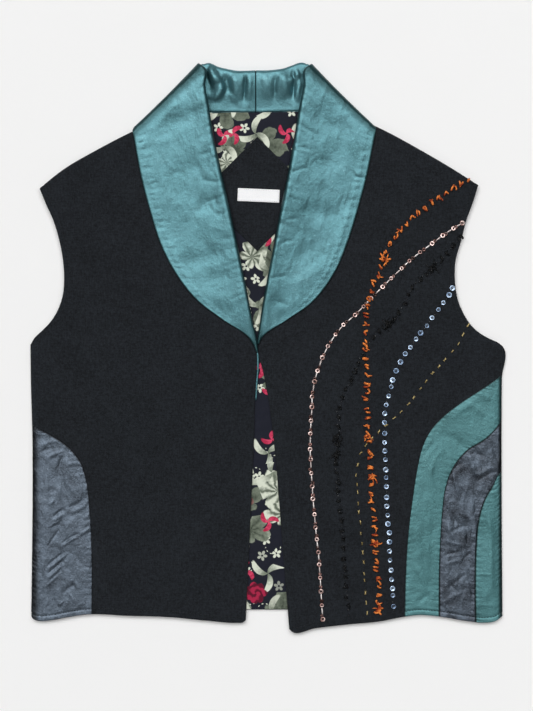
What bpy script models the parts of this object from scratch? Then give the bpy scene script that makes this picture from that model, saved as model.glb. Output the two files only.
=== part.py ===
# A sleeveless vest laid flat on its back: black cloth fronts and back, a printed back lining,
# a teal leather shawl collar that folds over the shoulders and under the back, and leather
# side panels. Sizes are in millimetres until the meshes are made. X runs to the viewer's
# right, Y up the garment to the neck and Z up from the table. The wearer's right front lies
# at the viewer's left.

import math

import bpy
import numpy as np

MM = 0.001

# Thickness of each kind of wall, and the seam gap between pieces
CLOTH = 2.0
LEATHER = 1.5
COLLAR = 1.8
LINING = 1.0
PATCH = 1.0
SEAM_GAP = 0.3

# Height of the middle of each layer above the table, where nothing lies under the back
BACK_HEIGHT = CLOTH / 2
LINING_HEIGHT = CLOTH + SEAM_GAP + LINING / 2
PATCH_HEIGHT = LINING_HEIGHT + LINING / 2 + SEAM_GAP + PATCH / 2
LABEL_HEIGHT = PATCH_HEIGHT + PATCH + SEAM_GAP
FRONT_HEIGHT = 4.9
FALL_HEIGHT = FRONT_HEIGHT + CLOTH / 2 + SEAM_GAP + COLLAR / 2
RETURN_HEIGHT = FALL_HEIGHT - 1.2

# Where the front turns down to meet the back: a quarter round of the wall's middle
TURN_RADIUS = (FRONT_HEIGHT - BACK_HEIGHT - SEAM_GAP) / 2
TURN_LENGTH = TURN_RADIUS * math.pi / 2
TURN_STEPS = np.linspace(0.0, TURN_LENGTH, 4)[1:]
# Distance of the last column from the front edge, where the hem's corner is rounded
CORNER_STEPS = (2.6, 0.0)
# Largest share of a row's width for its turned edge, and again for its rounded corner
EDGE_SHARE = 0.3
# A seam line's even steps end this many turn lengths before its end at the side
SEAM_END = 1.3
# Power that draws the side line's points together, as the seam's are, up the side
SIDE_SPREAD = 0.75
# Drop of a side piece's upper tip, which keeps it clear of the next piece's turn
TIP_DROP = 2.4
# Lining's distance inside the cloth's turned edge, and the height of its hem over the cloth's
LINING_INSET = 0.8
LINING_HEM = 0.5
# Slack to either side of the neck's ends, for telling the shoulders' columns from the neck's
NECK_SLACK = 0.5

# Steps over the collar's stand, round its roll, and over its fall, closer near the roll
STAND_STEPS = np.linspace(0.0, 1.0, 6)
ROLL_STEPS = 5
FALL_STEPS = np.array([0.0, 0.08, 0.18, 0.31, 0.46, 0.63, 0.81, 1.0])
# Least and greatest share of the fall that may be taken to lie over the return
HIDDEN_SHARE = (0.05, 0.75)
# Height of a ridge at its first end, as the share of its half wave that is left out
RIDGE_START = 0.15

# The collar's fall lies under the back near the neck, and lifts all that is over it
LIFT = COLLAR + SEAM_GAP
LIFT_START_Y = 120.0
LIFT_FULL_Y = 214.0

# Widths of the sides at a height, half of the chest each, silhouette to the middle
RIGHT_SIDE = {"y": (-284.0, -171.0, -100.0, -34.0, 2.4), "x": (248.0, 246.6, 246.6, 248.4, 248.8)}
LEFT_SIDE = {"y": (-284.0, -171.0, -97.0, -34.0, 0.3), "x": (248.2, 247.4, 247.2, 247.6, 248.8)}

# Shoulder line from the armhole to the neck, each as (x, y) of the fold
RIGHT_SHOULDER = ((-237.2, 168.6), (-215.0, 186.1), (-179.3, 207.1), (-139.4, 227.6),
                  (-112.1, 239.7), (-86.0, 249.4))
LEFT_SHOULDER = ((221.0, 169.6), (197.7, 186.1), (162.0, 207.1), (120.0, 229.7),
                 (87.4, 244.0), (60.6, 252.6))

# Hem lines of the three large panels
RIGHT_HEM = ((-248.0, -282.0), (-240.0, -286.9), (-225.5, -286.7), (-208.7, -283.6),
             (-191.9, -281.0), (-143.6, -282.2), (-101.6, -283.6), (-59.6, -287.6),
             (-32.0, -289.5), (-24.5, -288.9), (-22.0, -286.5))
LEFT_HEM = ((23.6, -296.0), (26.2, -298.6), (51.7, -295.1), (85.3, -291.2), (118.9, -288.0),
            (144.1, -283.2), (160.9, -281.3), (177.7, -282.5), (211.3, -287.8), (228.1, -289.5),
            (241.0, -287.5), (248.2, -282.5))
BACK_HEM = ((-247.0, -279.0), (-154.0, -276.9), (0.0, -275.9), (160.0, -276.9), (247.0, -279.0))

# Right front, from the hem to the shoulder. The outer edge follows the side panel's seam,
# the side and the armhole, and the inner edge the centre front and the neck.
RIGHT_FRONT = {
    "outer_x": (-183.4, -183.4, -186.0, -189.5, -197.0, -209.0, -225.5, -239.0, -244.2,
                -247.2, -248.2, -248.8, -244.8, -234.9, -225.5, -218.6, -214.4, -212.9,
                -213.9, -218.1, -224.4, -231.8, -236.6),
    "outer_y": (-281.2, -223.4, -170.0, -140.0, -119.0, -105.0, -93.6, -86.6, -84.3,
                -83.0, -34.0, 2.4, 9.0, 18.1, 28.6, 41.0, 54.0, 70.6,
                89.5, 112.6, 133.6, 151.5, 165.6),
    "inner_x": (-22.0, -19.0, -16.6, -14.8, -13.8, -13.2, -12.9, -12.8, -12.7,
                -12.6, -11.8, -13.6, -16.0, -20.0, -24.0, -29.0, -34.0, -40.0,
                -49.0, -60.0, -71.0, -77.0, -83.5),
    "inner_y": (-288.6, -224.4, -170.0, -132.0, -108.0, -92.0, -80.0, -70.0, -64.0,
                -58.0, -26.0, -2.0, 5.0, 17.0, 29.0, 42.0, 55.0, 70.0,
                92.0, 120.0, 152.0, 184.0, 222.0),
}
LEFT_FRONT = {
    "outer_x": (144.7, 146.0, 148.8, 153.6, 159.0, 165.4, 173.8, 188.1, 204.7, 228.4,
                244.6, 247.6, 248.2, 248.8, 245.0, 236.5, 219.7, 210.3, 204.2, 200.0, 197.7,
                198.2, 204.0, 209.2, 216.6, 220.4),
    "outer_y": (-283.1, -234.9, -194.6, -156.6, -123.3, -101.9, -85.2, -71.0, -57.9, -42.5,
                -31.5, -29.4, -12.0, 0.3, 3.8, 7.6, 18.1, 28.6, 40.0, 53.0, 70.6,
                89.5, 112.6, 133.6, 154.6, 166.6),
    "inner_x": (23.6, 18.6, 15.5, 12.4, 9.8, 7.6, 6.0, 4.4, 2.8, 0.8,
                -0.6, -1.8, -4.5, -7.0, -3.2, -0.2, 4.4, 9.0, 14.0, 19.6, 26.0,
                33.0, 43.0, 51.4, 55.5, 59.0),
    "inner_y": (-297.6, -235.0, -195.0, -156.0, -123.0, -102.0, -86.0, -74.0, -62.0, -50.0,
                -43.0, -36.0, -24.0, -2.0, 8.0, 17.0, 31.0, 44.0, 58.0, 73.0, 90.0,
                108.0, 132.0, 156.0, 188.0, 224.0),
}

# The back, from the hem to the shoulder, its edges just inside the fronts' armholes
BACK = {
    "outer_x": (-248.0, -246.6, -246.6, -248.4, -248.8, -244.0, -234.0, -224.6, -215.0, -211.9,
                -212.9, -217.1, -223.4, -230.8, -235.8),
    "outer_y": (-279.0, -171.0, -100.0, -34.0, 2.4, 9.0, 18.6, 28.9, 49.6, 70.6,
                89.5, 112.8, 134.0, 151.9, 165.2),
    "inner_x": (248.2, 247.4, 247.2, 247.6, 248.8, 244.2, 235.0, 219.0, 204.0, 197.4,
                196.9, 203.0, 208.2, 215.6, 219.4),
    "inner_y": (-279.0, -171.0, -97.0, -34.0, 0.3, 4.4, 8.6, 19.0, 42.0, 66.0,
                89.5, 112.9, 133.9, 154.9, 166.2),
}
BACK_NECK = ((-86.0, 249.4), (-81.8, 244.2), (-57.0, 246.6), (-11.6, 246.6), (33.0, 247.6),
             (56.2, 247.2), (60.6, 252.6))

NECK_RIGHT, NECK_LEFT = BACK_NECK[0], BACK_NECK[-1]

# Seams of the leather side panels, from the hem up to the side
PATCH_SEAM = ((-183.4, -281.2), (-183.4, -223.4), (-186.0, -170.0), (-189.5, -140.0),
              (-197.0, -119.0), (-209.0, -105.0), (-225.5, -93.6), (-239.0, -86.6),
              (-244.2, -84.3), (-247.2, -83.0))
OUTER_BAND_SEAM = ((144.7, -283.1), (146.0, -234.9), (148.8, -194.6), (153.6, -156.6),
                   (159.0, -123.3), (165.4, -101.9), (173.8, -85.2), (188.1, -71.0),
                   (204.7, -57.9), (228.4, -42.5), (244.6, -31.5), (247.6, -29.4))
MIDDLE_BAND_SEAM = ((181.4, -283.1), (181.6, -223.4), (182.9, -194.6), (185.2, -166.1),
                    (189.3, -142.3), (196.4, -125.7), (207.1, -111.5), (221.3, -101.9),
                    (238.0, -90.0), (247.3, -77.5))
INNER_BAND_SEAM = ((219.4, -288.6), (219.0, -246.5), (220.1, -206.6), (223.3, -177.9),
                   (228.4, -161.4), (238.0, -144.6), (247.2, -129.0))

# Front part of each collar half, from the break up to the shoulder, one row for a section:
# the seam, the roll's outline, the fall's outer edge, and the heights of the two layers
# where they meet the roll
RIGHT_LAPEL = {
    "seam_x": (-13.1, -16.2, -20.6, -27.0, -35.6, -46.0, -57.0, -66.8, -76.2, -81.4),
    "seam_y": (-1.0, 7.0, 20.0, 40.0, 62.0, 88.0, 117.0, 150.0, 190.0, 224.0),
    "roll_x": (-10.4, -11.9, -14.2, -18.4, -24.4, -31.2, -38.4, -46.5, -54.8, -61.0),
    "roll_y": (-5.0, 10.0, 24.5, 47.0, 77.5, 110.0, 144.0, 180.0, 219.0, 256.0),
    "edge_x": (-14.4, -23.9, -47.0, -74.0, -98.5, -113.0, -122.4, -131.0, -138.4, -140.4),
    "edge_y": (-2.6, 11.8, 28.6, 50.0, 83.0, 112.0, 142.0, 174.5, 207.0, 223.6),
    "return_z": (5.9, 5.9, 5.9, 5.9, 6.1, 6.5, 7.0, 7.8, 8.8, 10.2),
    "fall_z": (8.2, 8.8, 9.8, 11.0, 12.0, 13.0, 14.0, 14.8, 15.6, 16.2),
}
LEFT_LAPEL = {
    "seam_x": (-6.8, -4.2, 0.2, 5.8, 13.2, 21.6, 32.0, 42.6, 52.4, 57.0),
    "seam_y": (1.5, 9.0, 23.0, 40.0, 61.0, 84.0, 111.0, 140.0, 186.0, 224.0),
    "roll_x": (-8.9, -8.2, -6.9, -2.8, 2.6, 8.8, 15.2, 22.2, 28.8, 35.4),
    "roll_y": (-2.0, 10.0, 24.5, 47.0, 77.5, 110.0, 144.0, 180.0, 219.0, 258.0),
    "edge_x": (-5.0, 1.3, 21.3, 48.0, 73.5, 85.6, 95.0, 103.8, 111.4, 113.6),
    "edge_y": (1.6, 15.0, 28.6, 47.5, 82.5, 112.0, 142.0, 174.5, 212.0, 226.6),
    "return_z": (5.9, 5.9, 5.9, 5.9, 6.1, 6.5, 7.0, 7.8, 8.8, 10.2),
    "fall_z": (8.2, 8.8, 9.8, 11.0, 12.0, 13.0, 14.0, 14.8, 15.6, 16.2),
}

# The fold over the shoulder: plan points of its axis, and the radii of the two layers there
SHOULDER_FOLD = {
    "right": {"seam": (-80.2, 246.4), "roll": (-58.6, 291.6), "edge": (-136.4, 228.4)},
    "left": {"seam": (55.0, 249.2), "roll": (35.4, 291.6), "edge": (111.6, 231.0)},
}
STAND_FOLD_RADIUS = {"seam": 2.0, "roll": 3.0}
FALL_FOLD_RADIUS = {"roll": 7.4, "edge": 4.15}
STAND_FOLD_Z = {"seam": 6.0, "roll": 8.3}
FOLD_ANGLES = (0.0, 30.0, 60.0, 90.0, 120.0, 150.0, 180.0)
UNDER_HEIGHT = COLLAR / 2

# Back part of each collar half, from the shoulder fold to the centre back seam
CENTRE_BACK_X = -11.6
RIGHT_STAND = {
    "seam_x": (-70.0, -57.0, -42.0, -26.0, CENTRE_BACK_X - SEAM_GAP / 2),
    "seam_y": (247.6, 247.7, 247.6, 247.3, 247.1),
    "roll_x": (-49.6, -41.5, -32.3, -22.0, CENTRE_BACK_X - SEAM_GAP / 2),
    "roll_y": (295.4, 293.4, 291.4, 291.3, 292.0),
    "edge_x": (-114.0, -95.0, -70.0, -41.0, CENTRE_BACK_X - SEAM_GAP / 2),
    "edge_y": (225.4, 222.9, 220.8, 219.4, 218.7),
    "stand_z": (6.2, 7.2, 8.2, 8.8, 9.0),
}
LEFT_STAND = {
    "seam_x": (45.5, 33.0, 18.5, 3.0, CENTRE_BACK_X + SEAM_GAP / 2),
    "seam_y": (249.6, 248.6, 248.0, 247.5, 247.1),
    "roll_x": (26.6, 18.4, 9.2, -1.2, CENTRE_BACK_X + SEAM_GAP / 2),
    "roll_y": (295.2, 293.2, 291.6, 291.6, 292.0),
    "edge_x": (90.0, 71.0, 46.0, 17.0, CENTRE_BACK_X + SEAM_GAP / 2),
    "edge_y": (226.4, 223.4, 221.0, 219.5, 218.7),
    "stand_z": (6.2, 7.2, 8.2, 8.8, 9.0),
}
# Height of the stand where it is sewn to the neck
STAND_SEAM_Z = 4.0

# Soft ridges that the stand and the fall hold where the collar turns, each from one point
# to another, with its half width and height
COLLAR_RIDGES = (
    {"start": (-53.0, 291.0), "end": (-57.0, 260.0), "width": 8.0, "height": 3.2},
    {"start": (-30.0, 288.0), "end": (-24.0, 262.0), "width": 7.0, "height": 1.4},
    {"start": (24.0, 290.0), "end": (12.0, 264.0), "width": 9.0, "height": 2.6},
    {"start": (2.0, 288.0), "end": (1.0, 262.0), "width": 6.0, "height": 1.2},
)

# Square patch on its point, and the woven label that lies on it
PATCH_CENTRE = (-9.9, 161.0)
PATCH_HALF_DIAGONAL = 60.0
LABEL_CENTRE = (-8.6, 159.4)
LABEL_SIZE = (44.0, 13.6)
LABEL_TILT = -2.5

# Narrow leather piping on the right front edge, below the break
PIPING = {"x": (-9.7, -10.0, -10.6, -11.3), "y": (-9.0, -20.0, -34.0, -50.0)}
PIPING_WIDTH = 1.5

FINISHES = {
    "black_cloth": {"colour": (0.014, 0.017, 0.021), "roughness": 0.92},
    "teal_leather": {"colour": (0.115, 0.30, 0.31), "roughness": 0.42},
    "deep_teal_leather": {"colour": (0.042, 0.165, 0.155), "roughness": 0.48},
    "charcoal_leather": {"colour": (0.045, 0.052, 0.070), "roughness": 0.45},
    "printed_lining": {"colour": (0.030, 0.034, 0.050), "roughness": 0.80},
    "white_label": {"colour": (0.80, 0.80, 0.80), "roughness": 0.60},
}


def clear_scene():
    for item in list(bpy.data.objects):
        bpy.data.objects.remove(item, do_unlink=True)


def finish(name):
    """Material of one kind of piece, made once."""
    made = bpy.data.materials.get(name)
    if made:
        return made
    made = bpy.data.materials.new(name)
    made.use_nodes = True
    shader = made.node_tree.nodes["Principled BSDF"]
    shader.inputs["Base Color"].default_value = (*FINISHES[name]["colour"], 1.0)
    shader.inputs["Roughness"].default_value = FINISHES[name]["roughness"]
    shader.inputs["Metallic"].default_value = 0.0
    return made


def columns(table, *names):
    """Rows of the named columns of a table."""
    return np.array([table[name] for name in names], float).T


def unit(vectors):
    return vectors / np.linalg.norm(vectors, axis=-1, keepdims=True)


def smooth_rows(rows, steps):
    """Catmull-Rom curve through the rows, with a number of steps to each interval."""
    padded = np.vstack([2 * rows[0] - rows[1], rows, 2 * rows[-1] - rows[-2]])
    t = np.arange(1, steps + 1)[:, None] / steps
    pieces = [rows[:1]]
    for index in range(1, len(rows)):
        before, start, end, after = padded[index - 1:index + 3]
        slope_in = (end - before) / 2
        slope_out = (after - start) / 2
        pieces.append((2 * t**3 - 3 * t**2 + 1) * start + (t**3 - 2 * t**2 + t) * slope_in
                      + (3 * t**2 - 2 * t**3) * end + (t**3 - t**2) * slope_out)
    return np.vstack(pieces)


def lift(y):
    """Rise of the layers over the collar's fall, a smooth step up the garment."""
    t = np.clip((np.asarray(y) - LIFT_START_Y) / (LIFT_FULL_Y - LIFT_START_Y), 0.0, 1.0)
    return LIFT * t * t * (3 - 2 * t)


def side_edge(x, y):
    """Distance of the side's outline from the middle, on the side where x lies."""
    right = np.interp(y, RIGHT_SIDE["y"], RIGHT_SIDE["x"])
    left = np.interp(y, LEFT_SIDE["y"], LEFT_SIDE["x"])
    return np.where(x < 0, right, left)


def lay(flat, height, down, crest_turn=None):
    """Wall middle and normals for flat points: the sides, and the crest where its turn is
    given as (length, direction), bend in a quarter round down or up to the other layer."""
    x, y = flat[..., 0], flat[..., 1]
    sign = np.sign(x)
    over = np.clip(np.abs(x) - (side_edge(x, y) - TURN_LENGTH), 0.0, TURN_LENGTH)
    angle = over / TURN_RADIUS
    middle = np.stack([x + sign * (TURN_RADIUS * np.sin(angle) - over), y,
                       height + lift(y) - down * TURN_RADIUS * (1 - np.cos(angle))], axis=-1)
    normal = np.stack([sign * np.sin(angle), 0 * x, down * np.cos(angle)], axis=-1)
    if crest_turn is not None:
        length, direction = crest_turn
        angle = length / TURN_RADIUS
        turned = angle > 0
        shift = TURN_RADIUS * np.sin(angle) - length
        middle[..., :2] += shift[..., None] * direction
        middle[..., 2] -= down * TURN_RADIUS * (1 - np.cos(angle))
        bent = np.concatenate([np.sin(angle)[..., None] * direction,
                               down * np.cos(angle)[..., None]], axis=-1)
        normal = np.where(turned[..., None], bent, normal)
    return middle, normal * down


def wall(name, middle, normal, thickness, material):
    """Closed solid between two copies of a grid, moved half the thickness each way."""
    rows, across = middle.shape[:2]
    top = middle + normal * thickness / 2
    bottom = middle - normal * thickness / 2
    points = np.concatenate([top.reshape(-1, 3), bottom.reshape(-1, 3)]) * MM
    index = np.arange(rows * across).reshape(rows, across)
    under = index + rows * across
    faces = []
    for grid, order in ((index, 1), (under, -1)):
        quads = np.stack([grid[:-1, :-1], grid[:-1, 1:], grid[1:, 1:], grid[1:, :-1]], axis=-1)
        faces.extend(quads.reshape(-1, 4)[:, ::order].tolist())
    rim = np.concatenate([index[0], index[1:, -1], index[-1, -2::-1], index[-2:0:-1, 0]])
    following = np.roll(rim, -1)
    offset = rows * across
    sides = np.stack([rim, rim + offset, following + offset, following], axis=-1)
    faces.extend(sides.tolist())
    mesh = bpy.data.meshes.new(name)
    mesh.from_pydata(points.tolist(), [], faces)
    mesh.validate()
    if signed_volume(points, faces) < 0:
        mesh.flip_normals()
    mesh.shade_smooth()
    mesh.set_sharp_from_angle(angle=math.radians(50))
    mesh.materials.append(finish(material))
    piece = bpy.data.objects.new(name, mesh)
    bpy.context.scene.collection.objects.link(piece)
    return piece


def signed_volume(points, faces):
    """Volume within the faces, positive where they point outwards."""
    quads = np.array(faces)
    first, second, third, fourth = (points[quads[:, k]] for k in range(4))
    halves = np.einsum("ij,ij->i", first, np.cross(second, third))
    return (halves + np.einsum("ij,ij->i", first, np.cross(third, fourth))).sum() / 6


def across_fractions(widths, body, inner_steps):
    """Places of the columns as fractions of each row: close together at the turned outer
    edge, spread over the body, and at the given distances from the inner edge."""
    near = np.minimum(TURN_LENGTH, EDGE_SHARE * widths)[:, None] / widths[:, None]
    edge = near * np.linspace(0.0, 1.0, 4)[None, :3]
    last = np.minimum(np.array(inner_steps)[None, :] / widths[:, None], EDGE_SHARE)
    middle = near + (1 - near - last[:, :1]) * np.asarray(body)[None, :]
    return np.concatenate([edge, middle, 1 - last[:, 1:]], axis=1)


def panel_grid(sections, hem, crest, body, inner_steps=(0.0,)):
    """Flat points of a panel: straight rows between its two edges, bowed to its hem at the
    bottom and to its crest at the top, each bow fading towards the other."""
    outer, inner = sections[:, :2], sections[:, 2:]
    widths = np.linalg.norm(inner - outer, axis=1)
    fractions = across_fractions(widths, body, inner_steps)
    points = outer[:, None] + (inner - outer)[:, None] * fractions[..., None]
    rise = np.concatenate([[0.0], np.cumsum(np.linalg.norm(np.diff(
        (outer + inner) / 2, axis=0), axis=1))])
    rise = (rise / rise[-1])[:, None]
    for edge, row, weight in ((hem, 0, 1 - rise), (crest, -1, rise)):
        if edge is None:
            continue
        edge = np.array(sorted(edge))
        chord = outer[row] + (inner - outer)[row] * fractions[..., None]
        points[..., 1] += weight * (np.interp(chord[..., 0], edge[:, 0], edge[:, 1])
                                    - chord[..., 1])
    return points


def crest_rows(flat, direction):
    """Rows added beyond the last one for the turn over the shoulder, with their lengths."""
    extra = [flat[-1] + step * direction for step in TURN_STEPS]
    lengths = np.zeros(flat.shape[:2])
    turned = np.ones(flat.shape[1])
    lengths = np.vstack([lengths, [step * turned for step in TURN_STEPS]])
    return np.concatenate([flat, extra]), lengths


def shoulder_direction(shoulder):
    """Unit vector square to a shoulder line, pointing up out of the garment."""
    (x0, y0), (x1, y1) = shoulder[0], shoulder[-1]
    normal = unit(np.array([-(y1 - y0), x1 - x0]))
    return normal * np.sign(normal[1])


def inset_line(line, direction, distance):
    return tuple(tuple(np.array(point) - distance * direction) for point in line)


def make_front(name, table, hem, shoulder, count):
    """One cloth front, from the hem to the shoulder, turned down at the side and shoulder."""
    direction = shoulder_direction(shoulder)
    tangent = inset_line(shoulder, direction, TURN_LENGTH)
    rows = columns(table, "outer_x", "outer_y", "inner_x", "inner_y")
    last = [*tangent[0], *tangent[-1]]
    flat = panel_grid(np.vstack([rows, last]), hem, tangent, np.linspace(0.0, 1.0, count),
                      CORNER_STEPS)
    flat, lengths = crest_rows(flat, direction)
    middle, normal = lay(flat, FRONT_HEIGHT, 1, (lengths, np.broadcast_to(direction, flat.shape)))
    return wall(name, middle, normal, CLOTH, "black_cloth")


def back_columns(crest):
    """Places of the back's columns over its crest row, one of them at each end of the neck
    and one just inside it."""
    start, end = crest[0], crest[2]
    stops = np.array([start, NECK_RIGHT[0], BACK_NECK[1][0], BACK_NECK[-2][0], NECK_LEFT[0], end])
    stops = (stops - start) / (end - start)
    counts = (7, 1, 7, 1, 7)
    places = [np.linspace(low, high, count + 1)[:-1]
              for low, high, count in zip(stops[:-1], stops[1:], counts)]
    return np.concatenate([*places, [1.0]])


def make_back(name):
    """The cloth back, turned up at the sides and shoulders and open at the neck."""
    right = shoulder_direction(RIGHT_SHOULDER)
    left = shoulder_direction(LEFT_SHOULDER)
    tangent = (*inset_line(RIGHT_SHOULDER, right, TURN_LENGTH),
               *inset_line(BACK_NECK[1:-1], np.array([0.0, 1.0]), TURN_LENGTH),
               *inset_line(reversed(LEFT_SHOULDER), left, TURN_LENGTH))
    rows = columns(BACK, "outer_x", "outer_y", "inner_x", "inner_y")
    last = [*tangent[0], *tangent[-1]]
    steps = (TURN_LENGTH, *(TURN_LENGTH - TURN_STEPS))
    flat = panel_grid(np.vstack([rows, last]), BACK_HEM, tangent, back_columns(last), steps)
    crest_x = flat[-1, :, 0]
    on_right = crest_x < NECK_RIGHT[0] + NECK_SLACK
    on_left = crest_x > NECK_LEFT[0] - NECK_SLACK
    direction = np.where(on_right[:, None], right, np.where(on_left[:, None], left, (0.0, 1.0)))
    flat, lengths = crest_rows(flat, direction)
    lengths = lengths * (on_right | on_left)
    middle, normal = lay(flat, BACK_HEIGHT, -1, (lengths, np.broadcast_to(direction, flat.shape)))
    return wall(name, middle, normal, CLOTH, "black_cloth")


def make_lining(name):
    """The printed lining of the back, flat and just inside the cloth's edges."""
    inside = TURN_LENGTH + LINING_INSET
    rows = columns(BACK, "outer_x", "outer_y", "inner_x", "inner_y")
    rows[:, 0] += inside
    rows[:, 2] -= inside
    crest = (*inset_line(RIGHT_SHOULDER, shoulder_direction(RIGHT_SHOULDER), inside),
             *inset_line(BACK_NECK[1:-1], np.array([0.0, 1.0]), SEAM_GAP),
             *inset_line(reversed(LEFT_SHOULDER), shoulder_direction(LEFT_SHOULDER), inside))
    last = [*crest[0], *crest[-1]]
    hem = tuple((x, y + LINING_HEM) for x, y in BACK_HEM)
    flat = panel_grid(np.vstack([rows, last]), hem, crest, back_columns(last))
    middle = np.dstack([flat, LINING_HEIGHT + lift(flat[..., 1])])
    normal = np.broadcast_to((0.0, 0.0, 1.0), middle.shape)
    return wall(name, middle, normal, LINING, "printed_lining")


def side_piece(name, outer, inner, hem, count, material):
    """A leather piece of the front between two seam curves that run from hem to side."""
    sections = np.hstack([outer, inner])
    flat = panel_grid(sections, hem, None, np.linspace(0.0, 1.0, count))
    middle, normal = lay(flat, FRONT_HEIGHT, 1)
    return wall(name, middle, normal, LEATHER, material)


def seam_places(points, count):
    """A seam line in a given number of points, closer together where it turns at the side."""
    dense = smooth_rows(np.array(points), 6)
    length = np.concatenate([[0.0], np.cumsum(np.linalg.norm(np.diff(dense, axis=0), axis=1))])
    body = np.linspace(0.0, length[-1] - SEAM_END * TURN_LENGTH, count - 1)
    places = [*body, length[-1]]
    return np.stack([np.interp(places, length, dense[:, k]) for k in (0, 1)], axis=1)


def moved_aside(points, offset):
    """A line moved to its left by the offset."""
    way = unit(np.diff(points, axis=0, append=[2 * points[-1] - points[-2]]))
    way = unit(way + np.vstack([way[:1], way[:-1]]))
    return points + offset * np.stack([-way[:, 1], way[:, 0]], axis=1)


def make_side_panels():
    """The leather at the hem corners: one panel on the right front, three bands on the left."""
    gap = SEAM_GAP
    right_seam = np.array(PATCH_SEAM)
    outer_seam = np.array(OUTER_BAND_SEAM)
    middle_seam = seam_places(MIDDLE_BAND_SEAM, len(outer_seam))
    inner_seam = seam_places(INNER_BAND_SEAM, len(outer_seam))

    seam = moved_aside(right_seam, gap)
    seam[-1, 1] -= TIP_DROP
    outer = side_line(seam[:, 1], -1, seam[-1, 1] - gap)
    side_piece("side_panel_right_front", outer, seam, RIGHT_HEM, 5, "charcoal_leather")
    side_piece("side_band_left_outer", moved_aside(outer_seam, -gap),
               moved_aside(middle_seam, gap / 2), LEFT_HEM, 4, "deep_teal_leather")
    side_piece("side_band_left_middle", moved_aside(middle_seam, -gap / 2),
               moved_aside(inner_seam, gap / 2), LEFT_HEM, 4, "charcoal_leather")
    seam = moved_aside(inner_seam, -gap / 2)
    seam[-1, 1] -= TIP_DROP
    outer = side_line(seam[:, 1], 1, seam[-1, 1] - gap)
    side_piece("side_band_left_inner", outer, seam, LEFT_HEM, 3, "deep_teal_leather")


def side_line(y, side, top):
    """Points down the side's edge, level with the seam's, ending just under its top."""
    spread = np.linspace(0.0, 1.0, len(y)) ** SIDE_SPREAD
    own = y[0] + (top - y[0]) * spread
    return np.stack([side * side_edge(np.full(len(y), float(side)), own), own], axis=1)


def arc(centre, bulge, lower, upper, count):
    """Half round in the upright plane of bulge, from the lower height to the upper one."""
    angle = np.linspace(0.0, math.pi, count + 2)[1:-1, None]
    radius = (upper - lower) / 2
    across = np.sin(angle) * radius * np.array([*bulge, 0.0])
    up = np.array([0.0, 0.0, 1.0]) * ((upper + lower) / 2 - radius * np.cos(angle))
    return np.array([*centre, 0.0]) + across + up


def lapel_section(row):
    """Section of the collar over the front: return, roll, then the fall that slopes down."""
    seam, roll, edge = row[0:2], row[2:4], row[4:6]
    low, high = row[6:8]
    width = np.linalg.norm(edge - roll)
    out = (edge - roll) / width
    centre = roll + out * ((high - low) / 2 + COLLAR / 2)
    under = seam + (centre - seam) * STAND_STEPS[:, None]
    seam_z = RETURN_HEIGHT + lift(seam[1])
    under_z = seam_z + (max(low, seam_z) - seam_z) * STAND_STEPS
    fall = centre + (edge - centre) * FALL_STEPS[:, None]
    extra = high - FALL_HEIGHT - lift(centre[1])
    hidden = np.dot(seam - centre, out) / np.linalg.norm(edge - centre)
    hidden = min(max(hidden, HIDDEN_SHARE[0]), HIDDEN_SHARE[1])
    power = min(2.0, math.log(min(1.0, 1.0 / extra)) / math.log(1.0 - hidden))
    fall_z = FALL_HEIGHT + lift(fall[:, 1]) + extra * (1 - FALL_STEPS) ** power
    return np.vstack([np.column_stack([under, under_z]),
                      arc(centre, -out, max(low, seam_z), high, ROLL_STEPS),
                      np.column_stack([fall, fall_z])])


def fold_section(points, angle):
    """Section turned about the shoulder fold: the stand about its line, the fall about its
    own, and the roll between them at the neck corner."""
    seam, roll, edge = (np.array(points[key]) for key in ("seam", "roll", "edge"))
    up_stand = unit(roll - seam)
    down_fall = unit(edge - roll)
    outward = np.sign(edge[0] - roll[0])
    stand_normal = np.array([-up_stand[1], up_stand[0]])
    stand_normal = stand_normal * np.sign(stand_normal[0]) * outward
    fall_normal = np.array([-down_fall[1], down_fall[0]])
    fall_normal = fall_normal * np.sign(fall_normal[1])
    turn = math.radians(angle)
    upright = np.array([0.0, 0.0, math.cos(turn)])

    def place(plan, z, normal, radius):
        return (np.array([*plan, z]) + radius * upright
                + radius * math.sin(turn) * np.array([*normal, 0.0]))

    section = []
    for step in STAND_STEPS:
        radius = STAND_FOLD_RADIUS["seam"] * (1 - step) + STAND_FOLD_RADIUS["roll"] * step
        z = STAND_FOLD_Z["seam"] * (1 - step) + STAND_FOLD_Z["roll"] * step
        section.append(place(seam + (roll - seam) * step, z, stand_normal, radius))
    bulge = unit(up_stand - down_fall)
    low, high = STAND_FOLD_RADIUS["roll"], FALL_FOLD_RADIUS["roll"]
    for swing in np.linspace(0.0, math.pi, ROLL_STEPS + 2)[1:-1]:
        share = swing / math.pi
        normal = unit(stand_normal * (1 - share) + fall_normal * share)
        radius = (low + high) / 2 - (high - low) / 2 * math.cos(swing)
        plan = roll + bulge * (high - low) / 2 * math.sin(swing)
        section.append(place(plan, STAND_FOLD_Z["roll"], normal, radius))
    for step in FALL_STEPS:
        radius = FALL_FOLD_RADIUS["edge"] + (FALL_FOLD_RADIUS["roll"]
                                             - FALL_FOLD_RADIUS["edge"]) * (1 - step) ** 2
        z = UNDER_HEIGHT + radius
        section.append(place(roll + (edge - roll) * step, z, fall_normal, radius))
    return np.array(section)


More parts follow.
